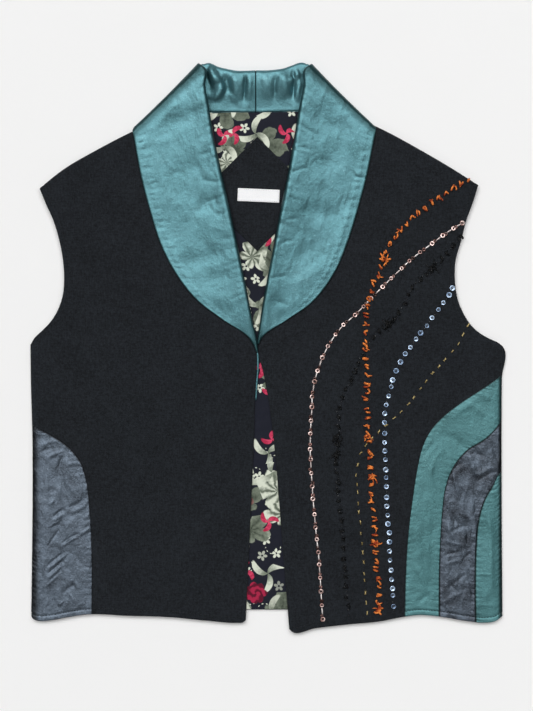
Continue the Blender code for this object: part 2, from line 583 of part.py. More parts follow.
def stand_section(row):
    """Section of the collar behind the neck: stand, roll over the top, fall underneath."""
    seam, roll, edge, high = row[0:2], row[2:4], row[4:6], row[6]
    up = unit(roll - seam)
    radius = (high - UNDER_HEIGHT) / 2
    centre = roll - up * (radius + COLLAR / 2)
    ease = STAND_STEPS * STAND_STEPS * (3 - 2 * STAND_STEPS)
    stand = seam + (centre - seam) * STAND_STEPS[:, None]
    stand_z = STAND_SEAM_Z + (high - STAND_SEAM_Z) * ease
    fall = centre + (edge - centre) * FALL_STEPS[:, None]
    fall_z = np.full(len(fall), UNDER_HEIGHT)
    return np.vstack([np.column_stack([stand, stand_z]),
                      arc(centre, up, UNDER_HEIGHT, high, ROLL_STEPS)[::-1],
                      np.column_stack([fall, fall_z])])


def ridge_height(points):
    """Sum of the soft ridges at each point: round across, and fading at both ends."""
    total = np.zeros(points.shape[:-1])
    for ridge in COLLAR_RIDGES:
        start, end = np.array(ridge["start"]), np.array(ridge["end"])
        way = end - start
        along = np.clip(((points[..., :2] - start) @ way) / (way @ way), 0.0, 1.0)
        nearest = start + along[..., None] * way
        distance = np.linalg.norm(points[..., :2] - nearest, axis=-1) / ridge["width"]
        phase = RIDGE_START + (1 - RIDGE_START) * along
        total += ridge["height"] * np.exp(-distance**2) * np.sin(math.pi * phase)
    return total


def surface_normals(grid):
    """Unit normals of a grid, from the even mean of the directions to each neighbour."""
    ways = []
    for axis in (0, 1):
        step = unit(np.diff(grid, axis=axis))
        first = np.take(step, [0], axis=axis)
        last = np.take(step, [-1], axis=axis)
        ways.append(np.concatenate([first, step], axis=axis)
                    + np.concatenate([step, last], axis=axis))
    return unit(np.cross(ways[0], ways[1]))


def make_collar(name, lapel, fold, stand):
    """Half a shawl collar, from the break, over the shoulder, to the centre back seam."""
    lapel_rows = columns(lapel, "seam_x", "seam_y", "roll_x", "roll_y", "edge_x", "edge_y",
                         "return_z", "fall_z")
    stand_rows = columns(stand, "seam_x", "seam_y", "roll_x", "roll_y", "edge_x", "edge_y",
                         "stand_z")
    sections = [lapel_section(row) for row in lapel_rows]
    sections += [fold_section(fold, angle) for angle in FOLD_ANGLES]
    sections += [stand_section(row) for row in stand_rows]
    grid = np.array(sections)
    first_stand = len(sections) - len(stand_rows)
    standing = grid[first_stand:, :len(STAND_STEPS)]
    fade = np.sin(math.pi * STAND_STEPS) ** 0.5
    standing[..., 2] += ridge_height(standing) * fade
    normal = surface_normals(grid)
    normal[-1, :, 0] = 0.0
    normal = unit(normal)
    return wall(name, grid, normal, COLLAR, "teal_leather")


def make_flat_plate(name, centre, half_sides, turn, height, thickness, count, material):
    """A small flat piece of cloth, turned in plan, that follows the lift under it."""
    across = np.linspace(-half_sides[0], half_sides[0], count)
    up = np.linspace(-half_sides[1], half_sides[1], count)
    along, rising = np.meshgrid(across, up)
    turn = math.radians(turn)
    x = centre[0] + along * math.cos(turn) - rising * math.sin(turn)
    y = centre[1] + along * math.sin(turn) + rising * math.cos(turn)
    middle = np.dstack([x, y, height + lift(y)])
    normal = np.broadcast_to((0.0, 0.0, 1.0), middle.shape)
    return wall(name, middle, normal, thickness, material)


def make_piping(name):
    """The narrow leather edge that finishes the right front just below the break."""
    spine = columns(PIPING, "x", "y")
    offsets = np.linspace(-PIPING_WIDTH / 2, PIPING_WIDTH / 2, 2)
    x = spine[:, :1] + offsets
    y = np.broadcast_to(spine[:, 1:], x.shape)
    middle = np.dstack([x, y, np.full(x.shape, FRONT_HEIGHT)])
    normal = np.broadcast_to((0.0, 0.0, 1.0), middle.shape)
    return wall(name, middle, normal, CLOTH, "teal_leather")


def main():
    clear_scene()
    make_back("back_cloth")
    make_lining("back_lining")
    half_side = PATCH_HALF_DIAGONAL / math.sqrt(2)
    make_flat_plate("neck_patch", PATCH_CENTRE, (half_side, half_side), 45.0, PATCH_HEIGHT,
                    PATCH, 7, "black_cloth")
    make_flat_plate("woven_label", LABEL_CENTRE, (LABEL_SIZE[0] / 2, LABEL_SIZE[1] / 2),
                    LABEL_TILT, LABEL_HEIGHT, PATCH, 3, "white_label")
    make_front("front_right", RIGHT_FRONT, RIGHT_HEM, RIGHT_SHOULDER, 11)
    make_front("front_left", LEFT_FRONT, LEFT_HEM, LEFT_SHOULDER, 11)
    make_side_panels()
    make_piping("front_piping")
    make_collar("collar_right", RIGHT_LAPEL, SHOULDER_FOLD["right"], RIGHT_STAND)
    make_collar("collar_left", LEFT_LAPEL, SHOULDER_FOLD["left"], LEFT_STAND)


main()
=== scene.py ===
# Looks of a sleeveless vest that lies flat on its back: black cloth, a teal leather shawl
# collar and side panels, a printed back lining, and rows of trimming on one front.
# Lengths are in millimetres until a mesh is made. X runs to the viewer's right, Y up the
# garment to the neck, Z up from the table. The wearer's right front is at the viewer's left.

import math

import bpy
import numpy as np
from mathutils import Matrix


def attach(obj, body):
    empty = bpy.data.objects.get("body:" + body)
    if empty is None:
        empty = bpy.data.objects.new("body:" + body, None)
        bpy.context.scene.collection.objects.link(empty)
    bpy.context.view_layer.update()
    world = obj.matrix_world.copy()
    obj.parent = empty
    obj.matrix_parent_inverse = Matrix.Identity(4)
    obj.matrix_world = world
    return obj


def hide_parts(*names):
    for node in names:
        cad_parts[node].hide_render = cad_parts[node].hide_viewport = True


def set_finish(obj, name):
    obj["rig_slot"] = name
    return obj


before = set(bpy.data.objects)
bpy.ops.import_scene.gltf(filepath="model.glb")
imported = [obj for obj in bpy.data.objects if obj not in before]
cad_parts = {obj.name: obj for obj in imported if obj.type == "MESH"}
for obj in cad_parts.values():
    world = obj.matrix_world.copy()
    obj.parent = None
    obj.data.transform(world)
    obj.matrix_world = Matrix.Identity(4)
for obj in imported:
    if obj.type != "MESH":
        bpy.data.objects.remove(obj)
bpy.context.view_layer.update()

mm = 0.001
rng = np.random.default_rng(11)

# What the photograph's frame shows, and how its pixels lie on the table
photo = {"width": 533, "height": 711, "scale": 1.05, "zeroX": 266.75, "zeroY": 347.25}

# Walls, and the height of the middle of each layer, as in the solids
layers = {"cloth": 2.0, "leather": 1.5, "collar": 1.8, "lining": 1.0, "patch": 1.0,
          "seamGap": 0.3, "front": 4.9}
layers["back"] = layers["cloth"] / 2
layers["lined"] = layers["cloth"] + layers["seamGap"] + layers["lining"] / 2
layers["patched"] = layers["lined"] + layers["lining"] / 2 + layers["seamGap"] + layers["patch"] / 2
layers["labelled"] = layers["patched"] + layers["patch"] + layers["seamGap"]
layers["fall"] = layers["front"] + layers["cloth"] / 2 + layers["seamGap"] + layers["collar"] / 2
layers["return"] = layers["fall"] - 1.2

# The front turns down at the side in a quarter round of this middle radius
turnRadius = (layers["front"] - layers["back"] - layers["seamGap"]) / 2
turnLength = turnRadius * math.pi / 2

# Seen from above the front rounds off over this reach before the side: a quarter of an
# ellipse, reach sin(a) across and turnRadius cos(a) up, with its running length
sideTurn = {"front": 11.0, "back": turnRadius}

# The collar's fall lies under the back near the neck and lifts what is over it
lifting = {"rise": layers["collar"] + layers["seamGap"], "startY": 120.0, "fullY": 214.0}

rightSide = {
    "y": (-284, -171, -100, -34, 2.4),
    "x": (248, 246.6, 246.6, 248.4, 248.8),
}
leftSide = {
    "y": (-284, -171, -97, -34, 0.3),
    "x": (248.2, 247.4, 247.2, 247.6, 248.8),
}
rightShoulder = (
    (-239, 167), (-215, 186.1), (-179.3, 207.1), (-139.4, 227.6), (-112.1, 239.7), (-86, 249.4),
)
leftShoulder = (
    (222.6, 170.4), (197.7, 186.1), (162, 207.1), (120, 229.7), (87.4, 244), (60.6, 252.6),
)
rightHem = (
    (-248, -281.4), (-246.6, -285), (-243.2, -286.9), (-238, -287.6), (-225.5, -286.7),
    (-208.7, -283.6), (-191.9, -281), (-143.6, -282.2), (-101.6, -283.6), (-59.6, -287.6),
    (-32, -289.5), (-24.5, -288.9), (-22, -286.5),
)
leftHem = (
    (23.6, -296), (26.2, -298.6), (51.7, -295.1), (85.3, -291.2), (118.9, -288), (144.1, -283.2),
    (160.9, -281.3), (177.7, -282.5), (211.3, -287.8), (228.1, -289.5), (241, -287.5), (248.2, -282.5),
)
backHem = (
    (-247, -279), (-154, -276.9), (0, -275.9), (160, -276.9), (247, -279),
)

# Each panel's outer and inner edge, row by row from the hem to the shoulder, and the rows
# at which an edge has a corner
rightFront = {
    "outerX": (
        -183.4, -183.4, -186, -189.5, -197, -209, -225.5, -239, -244.2, -247.2, -248.2, -248.8, -244.8,
        -234.9, -225.5, -218.6, -214.4, -212.9, -213.9, -218.1, -224.4, -232.6),
    "outerY": (
        -281.2, -223.4, -170, -140, -119, -105, -93.6, -86.6, -84.3, -83, -34, 2.4, 9, 18.1, 28.6, 41,
        54, 70.6, 89.5, 112.6, 133.6, 152),
    "innerX": (
        -22, -19, -16.6, -14.8, -13.8, -13.2, -12.9, -12.8, -12.7, -12.6, -11.2, -11.8, -15.4, -20, -24,
        -29, -34, -40, -49, -60, -71, -77),
    "innerY": (
        -288.6, -224.4, -170, -132, -108, -92, -80, -70, -64, -58, -26, -2, 5, 17, 29, 42, 55, 70, 92,
        120, 152, 184),
    "corners": (9, 11),
}
leftFront = {
    "outerX": (
        144.7, 146, 148.8, 153.6, 158.9, 164.2, 172.4, 187.2, 204.7, 228.4, 244.6, 247.6, 248.2, 248.8,
        245, 236.5, 219.7, 210.3, 204.2, 200, 197.7, 198.2, 204.3, 209.8, 217.4),
    "outerY": (
        -283.1, -234.9, -194.6, -156.6, -124.3, -103.2, -87.2, -71.3, -57.9, -42.5, -31.5, -29.4, -12,
        0.3, 3.8, 7.6, 18.1, 28.6, 40, 53, 70.6, 89.5, 112.6, 133.6, 154.6),
    "innerX": (
        23.6, 18.6, 15.5, 12.4, 9.8, 7.6, 6, 4.4, 2.8, 0.8, -0.6, -1.8, -4.5, -9, -6.6, -2.6, 3.4, 9,
        14, 19.6, 26, 33, 43, 51.4, 55.5),
    "innerY": (
        -297.6, -235, -195, -156, -123, -102, -86, -74, -62, -50, -43, -36, -24, -2, 8, 17, 31, 44, 58,
        73, 90, 108, 132, 156, 188),
    "corners": (11, 13),
}
backPanel = {
    "outerX": (
        -248, -246.6, -246.6, -248.4, -248.8, -244, -234, -224.6, -215, -211.9, -212.9, -217.1, -223.4,
        -230.8, -235.8),
    "outerY": (-279, -171, -100, -34, 2.4, 9, 18.6, 28.9, 49.6, 70.6, 89.5, 112.8, 134, 151.9, 165.2),
    "innerX": (
        248.2, 247.4, 247.2, 247.6, 248.8, 244.2, 235, 219, 204, 197.4, 196.9, 203, 208.2, 215.6, 219.4),
    "innerY": (-279, -171, -97, -34, 0.3, 4.4, 8.6, 19, 42, 66, 89.5, 112.9, 133.9, 154.9, 166.2),
    "corners": (4,),
}
backNeck = (
    (-86, 249.4), (-81.8, 244.2), (-57, 246.6), (-11.6, 246.6), (33, 247.6), (56.2, 247.2),
    (60.6, 252.6),
)


# One edge of a panel as rows of x and y
def edgeOf(table, edge):
    return np.column_stack([table[edge + "X"], table[edge + "Y"]])


# The lower rows of a front's outer edge are its seam with the leather beside it
patchSeam = edgeOf(rightFront, "outer")[:10]
outerBandSeam = edgeOf(leftFront, "outer")[:12]
middleBandSeam = (
    (181.4, -283.1), (181.6, -223.4), (182.9, -194.6), (185.2, -166.1), (189.3, -142.3),
    (196.4, -125.7), (207.1, -111.5), (221.3, -101.9), (238, -90), (247.3, -77.5),
)
innerBandSeam = (
    (219.4, -288.6), (219, -246.5), (220.1, -206.6), (223.3, -177.9), (228.4, -161.4), (238, -144.6),
    (247.2, -129),
)


# Places in the photograph's frame, in pixels, brought to the table:
# x = (px - zeroX) times scale, y = (zeroY - py) times scale
def tablePlace(pixels):
    pixels = np.asarray(pixels, float)
    return np.stack([(pixels[..., 0] - photo["zeroX"]) * photo["scale"],
                     (photo["zeroY"] - pixels[..., 1]) * photo["scale"]], axis=-1)


# Each vector divided by its own length
def unit(vectors):
    return vectors / np.maximum(np.linalg.norm(vectors, axis=-1, keepdims=True), 1e-12)


# 0 below low, 1 above high, and 3t^2 - 2t^3 between, where t is the share of the way
def easeStep(values, low, high):
    t = np.clip((values - low) / (high - low), 0.0, 1.0)
    return t * t * (3 - 2 * t)


# Points that stand for one row's length where a line is made dense
pointsInRow = 24


# Smooth curve through rows of points, read at places counted in rows: the cubic Hermite
# blend of two neighbours and their slopes, where a slope is the mean of its two chords'
# slopes, each weighted by the other chord's length, and a corner keeps both apart
def curveAt(points, at, corners=()):
    points = np.asarray(points, float)
    step = np.diff(points, axis=0)
    chord = np.maximum(np.linalg.norm(step, axis=-1, keepdims=True), 1e-9)
    secant = step / chord
    mean = (secant[1:] * chord[:-1] + secant[:-1] * chord[1:]) / (chord[1:] + chord[:-1])
    leaving = np.concatenate([secant[:1], mean, secant[-1:]])
    arriving = leaving.copy()
    for corner in corners:
        leaving[corner] = secant[corner]
        arriving[corner] = secant[corner - 1]
    at = np.asarray(at, float)
    part = np.clip(np.floor(at).astype(int), 0, len(chord) - 1)
    s = (at - part).reshape(-1, *[1] * (points.ndim - 1))
    run = chord[part]
    return ((2 * s**3 - 3 * s**2 + 1) * points[part] + (s**3 - 2 * s**2 + s) * run * leaving[part]
            + (3 * s**2 - 2 * s**3) * points[part + 1] + (s**3 - s**2) * run * arriving[part + 1])


# Length along rows of points up to each of them: the running sum of the steps' lengths
def runningLength(points, axis=0):
    steps = np.linalg.norm(np.diff(points, axis=axis), axis=-1)
    start = np.zeros_like(np.take(steps, [0], axis=axis))
    return np.concatenate([start, np.cumsum(steps, axis=axis)], axis=axis)


# Many points of a smooth line, and its length up to each of them
def denseLine(points):
    last = len(points) - 1
    dense = curveAt(points, np.linspace(0, last, pointsInRow * last + 1))
    return dense, runningLength(dense)


# Columns of values known at running lengths, read at other lengths between them
def readAlong(lengths, total, columns):
    return np.stack([np.interp(lengths, total, column) for column in columns.T], axis=-1)


# Points of a smooth line at given lengths along it, and the line's direction there
def lineAt(points, lengths):
    dense, total = denseLine(points)
    ways = unit(np.gradient(dense, axis=0))
    return readAlong(lengths, total, dense), unit(readAlong(lengths, total, ways))


# Rise of the layers over the collar's fall: a smooth step up the garment
def liftAt(y):
    return lifting["rise"] * easeStep(np.asarray(y, float), lifting["startY"], lifting["fullY"])


# Distance of the side's outline from the middle, on the side where x lies
def sideEdge(x, y):
    right = np.interp(y, rightSide["y"], rightSide["x"])
    left = np.interp(y, leftSide["y"], leftSide["x"])
    return np.where(x < 0, right, left)


# Middle and normal of a wall over flat points: near the side the wall follows a quarter
# of an ellipse, x + reach sin(a) and z - R (1 - cos a), with a read from the running
# length, and the crest's added rows turn in a quarter round along their own direction
def layOver(flat, height, down, reach, crestLength=None, crestWay=None):
    x, y = flat[..., 0], flat[..., 1]
    sign = np.sign(x)
    swing = np.linspace(0.0, math.pi / 2, 181)
    steps = np.hypot(np.diff(reach * np.sin(swing)), np.diff(turnRadius * np.cos(swing)))
    run = np.concatenate([[0.0], np.cumsum(steps)])
    span = turnLength - turnRadius + reach
    over = np.clip(np.abs(x) - sideEdge(x, y) + span, 0.0, span)
    angle = np.interp(over * run[-1] / span, run, swing)
    middle = np.stack([x + sign * (reach * np.sin(angle) - over), y,
                       height + liftAt(y) - down * turnRadius * (1 - np.cos(angle))], axis=-1)
    normal = unit(np.stack([sign * turnRadius * np.sin(angle), 0 * x,
                            down * reach * np.cos(angle)], axis=-1))
    if crestLength is not None:
        angle = crestLength / turnRadius
        shift = turnRadius * np.sin(angle) - crestLength
        middle[..., :2] += shift[..., None] * crestWay
        middle[..., 2] -= down * turnRadius * (1 - np.cos(angle))
        bent = np.concatenate([np.sin(angle)[..., None] * crestWay,
                               down * np.cos(angle)[..., None]], axis=-1)
        normal = np.where((angle > 0)[..., None], bent, normal)
    return middle, normal * down


# Soft troughs and ridges, each a row with its two ends in the photograph's pixels, a bow
# sideways, a half width and a height: height times exp(-(distance / width)^2), eased in
# and out along its length
def creaseHeight(places, rows):
    total = np.zeros(places.shape[:-1])
    for startX, startY, endX, endY, bow, width, height in rows:
        start, end = tablePlace((startX, startY)), tablePlace((endX, endY))
        way = end - start
        length = np.hypot(*way)
        along = ((places[..., :2] - start) @ way) / length**2
        aside = ((places[..., :2] - start) @ np.array([-way[1], way[0]])) / length
        distance = (aside - bow * 4 * along * (1 - along)) / width
        fade = easeStep(along, -0.05, 0.3) * easeStep(1 - along, -0.05, 0.4)
        total += height * np.exp(-distance**2) * fade
    return total


# Volume within closed faces, positive where they point outwards: a sixth of the sum of
# each corner's triple product with the next two
def signedVolume(points, quads):
    first, second, third, fourth = (points[quads[:, k]] for k in range(4))
    halves = np.einsum("ij,ij->i", first, np.cross(second, third))
    return (halves + np.einsum("ij,ij->i", first, np.cross(third, fourth))).sum() / 6


# A new object in the scene with some data
def placeObject(name, data):
    placed = bpy.data.objects.new(name, data)
    bpy.context.scene.collection.objects.link(placed)
    return placed


# A mesh object from points in millimetres and faces, smooth and at the origin
def meshPiece(name, points, faces, finish, slot, values=None):
    mesh = bpy.data.meshes.new(name)
    mesh.from_pydata((np.asarray(points) * mm).tolist(), [], faces)
    mesh.validate()
    for key, numbers in (values or {}).items():
        mesh.attributes.new(key, "FLOAT", "POINT").data.foreach_set(
            "value", np.asarray(numbers, np.float32).ravel())
    mesh.shade_smooth()
    mesh.materials.append(finish)
    piece = placeObject(name, mesh)
    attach(piece, "root")
    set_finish(piece, slot)
    return piece


# A closed thin shell on a grid of middles: each side lies at h = sqrt(r^2 - (r - d)^2)
# from it, with r half the thickness and d the distance from the border up to r, so that
# both sides meet in a round edge. Reliefs push either side along the normal
def shellPiece(name, middle, normal, thickness, border, finish, slot, topRelief=0.0,
               lowRelief=0.0, values=None):
    rows, across = middle.shape[:2]
    half = thickness / 2
    near = np.clip(border, 0.0, half)
    share = np.sqrt(np.maximum(half**2 - (half - near)**2, 0.0))
    full = share / half
    top = middle + normal * (share + topRelief * full)[..., None]
    low = middle - normal * (share + lowRelief * full)[..., None]
    index = np.arange(rows * across).reshape(rows, across)
    inside = np.zeros((rows, across), bool)
    inside[1:-1, 1:-1] = True
    under = index.copy()
    under[inside] = rows * across + np.arange(inside.sum())
    points = np.concatenate([top.reshape(-1, 3), low[inside]])
    quads = []
    for grid, order in ((index, 1), (under, -1)):
        cells = np.stack([grid[:-1, :-1], grid[:-1, 1:], grid[1:, 1:], grid[1:, :-1]], axis=-1)
        quads.append(cells.reshape(-1, 4)[:, ::order])
    quads = np.concatenate(quads)
    if signedVolume(points, quads) < 0:
        quads = quads[:, ::-1]
    both = {key: np.concatenate([numbers.ravel(), numbers[inside]])
            for key, numbers in (values or {}).items()}
    return meshPiece(name, points, quads.tolist(), finish, slot, both)


# Places of the grid's rows, counted in table rows: even steps between them, with the
# rim's own close rows at both ends
def rowPlaces(edges, step, rim):
    length = np.max([np.linalg.norm(np.diff(edge, axis=0), axis=1) for edge in edges], axis=0)
    counts = np.maximum(1, np.ceil(length / step)).astype(int)
    places = np.concatenate([index + np.arange(count) / count
                             for index, count in enumerate(counts)] + [[len(counts)]])
    first = rim / length[0]
    last = len(counts) - rim[::-1] / length[-1]
    body = places[(places > 1.2 * first[-1]) & (places < last[0] - 0.2 * (len(counts) - last[0]))]
    return np.concatenate([first, body, last])


rimShares = np.array([0.0, 0.13, 0.5, 1.0])
turnShares = np.array([0.0, 0.05, 0.18, 0.36, 0.56, 0.78, 1.0])
# On a narrow row the close columns at either edge take up this share of the width at most
narrowest = 0.3


# Flat points of a panel: outer + fraction times (inner - outer) on each row, its y moved
# to the hem line at the bottom and to the crest line at the top, each move fading away
# with the height. Also gives each point's distance from the four edges
def panelGrid(outer, inner, hem, crest, step, half, corners=(), crestWay=None):
    places = rowPlaces((outer, inner), step, rimShares * half)
    outer, inner = curveAt(outer, places, corners), curveAt(inner, places)
    widths = np.linalg.norm(inner - outer, axis=1)[:, None]
    turn = np.minimum(turnLength, narrowest * widths)
    rim = np.minimum(half, narrowest * widths)
    body = np.linspace(0.0, 1.0, int(widths.max() / step) + 1)[None, 1:-1]
    fractions = np.concatenate([turnShares * turn, turn + (widths - turn - rim) * body,
                                widths - rim * rimShares[::-1]], axis=1) / widths
    flat = outer[:, None] + (inner - outer)[:, None] * fractions[..., None]
    rise = runningLength((outer + inner) / 2)
    rise = (rise / rise[-1])[:, None]
    for edge, row, weight in ((hem, 0, 1 - rise), (crest, -1, rise)):
        if edge is None:
            continue
        edge = np.array(sorted(edge))
        chord = outer[row] + (inner - outer)[row] * fractions[..., None]
        flat[..., 1] += weight * (np.interp(chord[..., 0], edge[:, 0], edge[:, 1]) - chord[..., 1])
    crestLength = np.zeros(flat.shape[:2])
    if crestWay is not None:
        added = turnLength * (1 - turnShares[::-1][1:])
        flat = np.concatenate([flat] + [flat[-1:] + length * crestWay for length in added])
        crestLength = np.vstack([crestLength] + [np.full((1, flat.shape[1]), length)
                                                 for length in added])
        fractions = np.vstack([fractions, np.repeat(fractions[-1:], len(added), axis=0)])
        widths = np.vstack([widths, np.repeat(widths[-1:], len(added), axis=0)])
    edges = {"outer": fractions * widths, "inner": (1 - fractions) * widths,
             "hem": runningLength(flat), "crest": runningLength(flat[::-1])[::-1]}
    return flat, crestLength, edges


# Width, length and area of a flat cut: the grid's box, and the sum of its cells by the
# half cross product of their diagonals
def cutSize(flat):
    one, two = flat[1:, 1:] - flat[:-1, :-1], flat[1:, :-1] - flat[:-1, 1:]
    area = np.abs(one[..., 0] * two[..., 1] - one[..., 1] * two[..., 0]).sum() / 2
    width, length = np.ptp(flat[..., 0]), np.ptp(flat[..., 1])
    return (width * mm, length * mm), area * mm * mm


# The least of each point's distances from the four edges
def nearestEdge(edges):
    return np.min(list(edges.values()), axis=0)


# Unit vector square to a shoulder line, pointing up out of the garment
def shoulderWay(shoulder):
    (x0, y0), (x1, y1) = shoulder[0], shoulder[-1]
    normal = unit(np.array([-(y1 - y0), x1 - x0]))
    return normal * np.sign(normal[1])


# Points of a line, each less a distance times a unit way
def movedLine(line, way, distance):
    return tuple(tuple(np.array(point) - distance * way) for point in line)


# A smooth line as many points
def smoothLine(points):
    return [tuple(point) for point in denseLine(points)[0]]


# One output socket of a node: sums, products and powers on it add Math nodes
class Wire:
    def __init__(self, maker, socket):
        self.maker = maker
        self.socket = socket

    def __add__(self, other):
        return self.maker.math("ADD", self, other)

    def __sub__(self, other):
        return self.maker.math("SUBTRACT", self, other)

    def __rsub__(self, other):
        return self.maker.math("SUBTRACT", other, self)

    def __mul__(self, other):
        return self.maker.math("MULTIPLY", self, other)

    def __truediv__(self, other):
        return self.maker.math("DIVIDE", self, other)

    def __pow__(self, other):
        return self.maker.math("POWER", self, other)

    __radd__ = __add__
    __rmul__ = __mul__


# A tree of nodes, and the nodes that expressions add to it
class Maker:
    def __init__(self, tree):
        self.tree = tree

    # Any node: its settings first, then the values or links of its sockets
    def node(self, kind, settings=None, values=None):
        made = self.tree.nodes.new(kind)
        for key, value in (settings or {}).items():
            setattr(made, key, value)
        for key, value in (values or {}).items():
            self.feed(made.inputs[key], value)
        return made

    # A link, a colour with its alpha, or a plain value, into one input socket
    def feed(self, socket, value):
        if isinstance(value, Wire):
            value = value.socket
        if isinstance(value, bpy.types.NodeSocket):
            self.tree.links.new(value, socket)
        elif isinstance(value, tuple) and socket.type == "RGBA":
            socket.default_value = (*value, 1.0)
        else:
            socket.default_value = value

    def math(self, operation, *values):
        made = self.node("ShaderNodeMath", {"operation": operation}, dict(enumerate(values)))
        return Wire(self, made.outputs[0])


# A material, with its places in millimetres
class Finish(Maker):
    def __init__(self, name, **constants):
        self.material = bpy.data.materials.new(name)
        self.material.use_nodes = True
        super().__init__(self.material.node_tree)
        self.shader = self.tree.nodes["Principled BSDF"]
        for key, value in constants.items():
            self.shader.inputs[key.replace("_", " ")].default_value = value
        place = self.node("ShaderNodeTexCoord").outputs["Object"]
        self.place = self.vector("SCALE", place, Scale=1 / mm)

    # Vector arithmetic on one or two vectors
    def vector(self, operation, *values, **named):
        return self.node("ShaderNodeVectorMath", {"operation": operation},
                         {**dict(enumerate(values)), **named}).outputs[0]

    # A value without its sign
    def absolute(self, value):
        return self.math("ABSOLUTE", value)

    # Smooth step from low to high
    def ease(self, value, low, high):
        made = self.node("ShaderNodeMapRange", {"interpolation_type": "SMOOTHSTEP"},
                         {"Value": value, "From Min": low, "From Max": high})
        return Wire(self, made.outputs[0])

    # first times (1 - factor) plus second times factor, in colours
    def mix(self, factor, first, second):
        made = self.node("ShaderNodeMix", {"data_type": "RGBA"}, {0: factor, 6: first, 7: second})
        return made.outputs[2]

    # Places scaled along each axis, in millimetres
    def stretched(self, x, y, z, turn=0.0):
        made = self.node("ShaderNodeMapping", {}, {"Vector": self.place, "Scale": (x, y, z),
                                                   "Rotation": (0.0, 0.0, turn)})
        return made.outputs[0]

    # Noise whose features are about size millimetres across
    def noise(self, size, detail=2.0, rough=0.5, twist=0.0, place=None):
        made = self.node("ShaderNodeTexNoise", {}, {
            "Vector": place or self.place, "Scale": 1 / size, "Detail": detail,
            "Roughness": rough, "Distortion": twist})
        return Wire(self, made.outputs["Fac"])

    # A value that the mesh carries at each of its points
    def attribute(self, name):
        made = self.node("ShaderNodeAttribute", {"attribute_name": name})
        return Wire(self, made.outputs["Fac"])

    # x, y and z of a vector as wires
    def parts(self, vector):
        made = self.node("ShaderNodeSeparateXYZ", {}, {0: vector})
        return [Wire(self, made.outputs[k]) for k in range(3)]

    # Bump of a height in millimetres
    def bump(self, height, strength=1.0):
        made = self.node("ShaderNodeBump", {}, {"Height": height, "Strength": strength,
                                                "Distance": mm})
        self.feed(self.shader.inputs["Normal"], made.outputs[0])

    # Feeds the shader's own sockets, and gives the finished material
    def paint(self, **sockets):
        for key, value in sockets.items():
            self.feed(self.shader.inputs[key.replace("_", " ")], value)
        return self.material


blackClothLook = {"dark": (0.0012, 0.0020, 0.0032), "pale": (0.0160, 0.0200, 0.0255),
                  "threadPitch": 0.62, "roughness": 0.9, "sheen": 0.04, "grain": 1.1,
                  "fleck": 2.3, "cloud": 26.0}


# Close plain weave: over and under as sin(x) sin(y) on the thread pitch, slubs as long
# noise along either thread, a faint cloud over all
def makeBlackCloth():
    look = blackClothLook
    cloth = Finish("blackCloth", Roughness=look["roughness"], Sheen_Weight=look["sheen"],
                   Sheen_Roughness=0.5, Specular_IOR_Level=0.25)
    x, y = cloth.parts(cloth.place)[:2]
    turn = 2 * math.pi / look["threadPitch"] / 2
    warp = cloth.math("SINE", x * turn)
    weft = cloth.math("SINE", y * turn)
    weave = warp * weft
    slubX = cloth.noise(1.0, 2.0, 0.6, place=cloth.stretched(0.9, 0.12, 0.5))
    slubY = cloth.noise(1.0, 2.0, 0.6, place=cloth.stretched(0.12, 0.9, 0.5))
    grain = cloth.noise(look["grain"], 3.0, 0.7)
    cloud = cloth.noise(look["cloud"])
    fleck = cloth.noise(look["fleck"], 2.0, 0.7)
    shade = (slubX + slubY) * 0.30 + grain * 0.5 + fleck * 0.5 + weave * 0.10 + cloud * 0.15
    tone = cloth.ease(shade, 0.62, 1.12)
    colour = cloth.mix(tone, look["dark"], look["pale"])
    cloth.bump(weave * 0.05 + grain * 0.16 + fleck * 0.2 + (slubX + slubY) * 0.10, 0.8)
    return cloth.paint(Base_Color=colour)


# Each look's edge colour is painted shade, laid where the rim attribute falls at seams, turned sides and
# collar folds
tealLook = {"edge": (0.010, 0.046, 0.050), "deep": (0.014, 0.064, 0.070),
            "middle": (0.088, 0.225, 0.256), "bright": (0.190, 0.385, 0.425),
            "grain": 0.9, "cloud": 24.0, "wave": 14.0, "waveHeight": 1.5}
deepTealLook = {"edge": (0.003, 0.016, 0.017), "deep": (0.010, 0.050, 0.052),
                "middle": (0.056, 0.158, 0.168), "bright": (0.125, 0.285, 0.295),
                "grain": 1.0, "cloud": 30.0, "wave": 18.0, "waveHeight": 1.3}
charcoalLook = {"edge": (0.005, 0.006, 0.008), "deep": (0.014, 0.017, 0.023),
                "middle": (0.072, 0.093, 0.120), "bright": (0.175, 0.212, 0.262),
                "grain": 1.0, "cloud": 14.0, "wave": 11.0, "waveHeight": 1.9}
# Sizes in millimetres of what the three leathers share, and the share that the rim's painted shade takes
leatherLook = {"fine": 0.6, "patch": 4.0, "glintSpeckle": 1.7, "wide": 9.0, "narrow": 3.6,
               "paintedShadeShare": 0.92, "coat": 0.08}
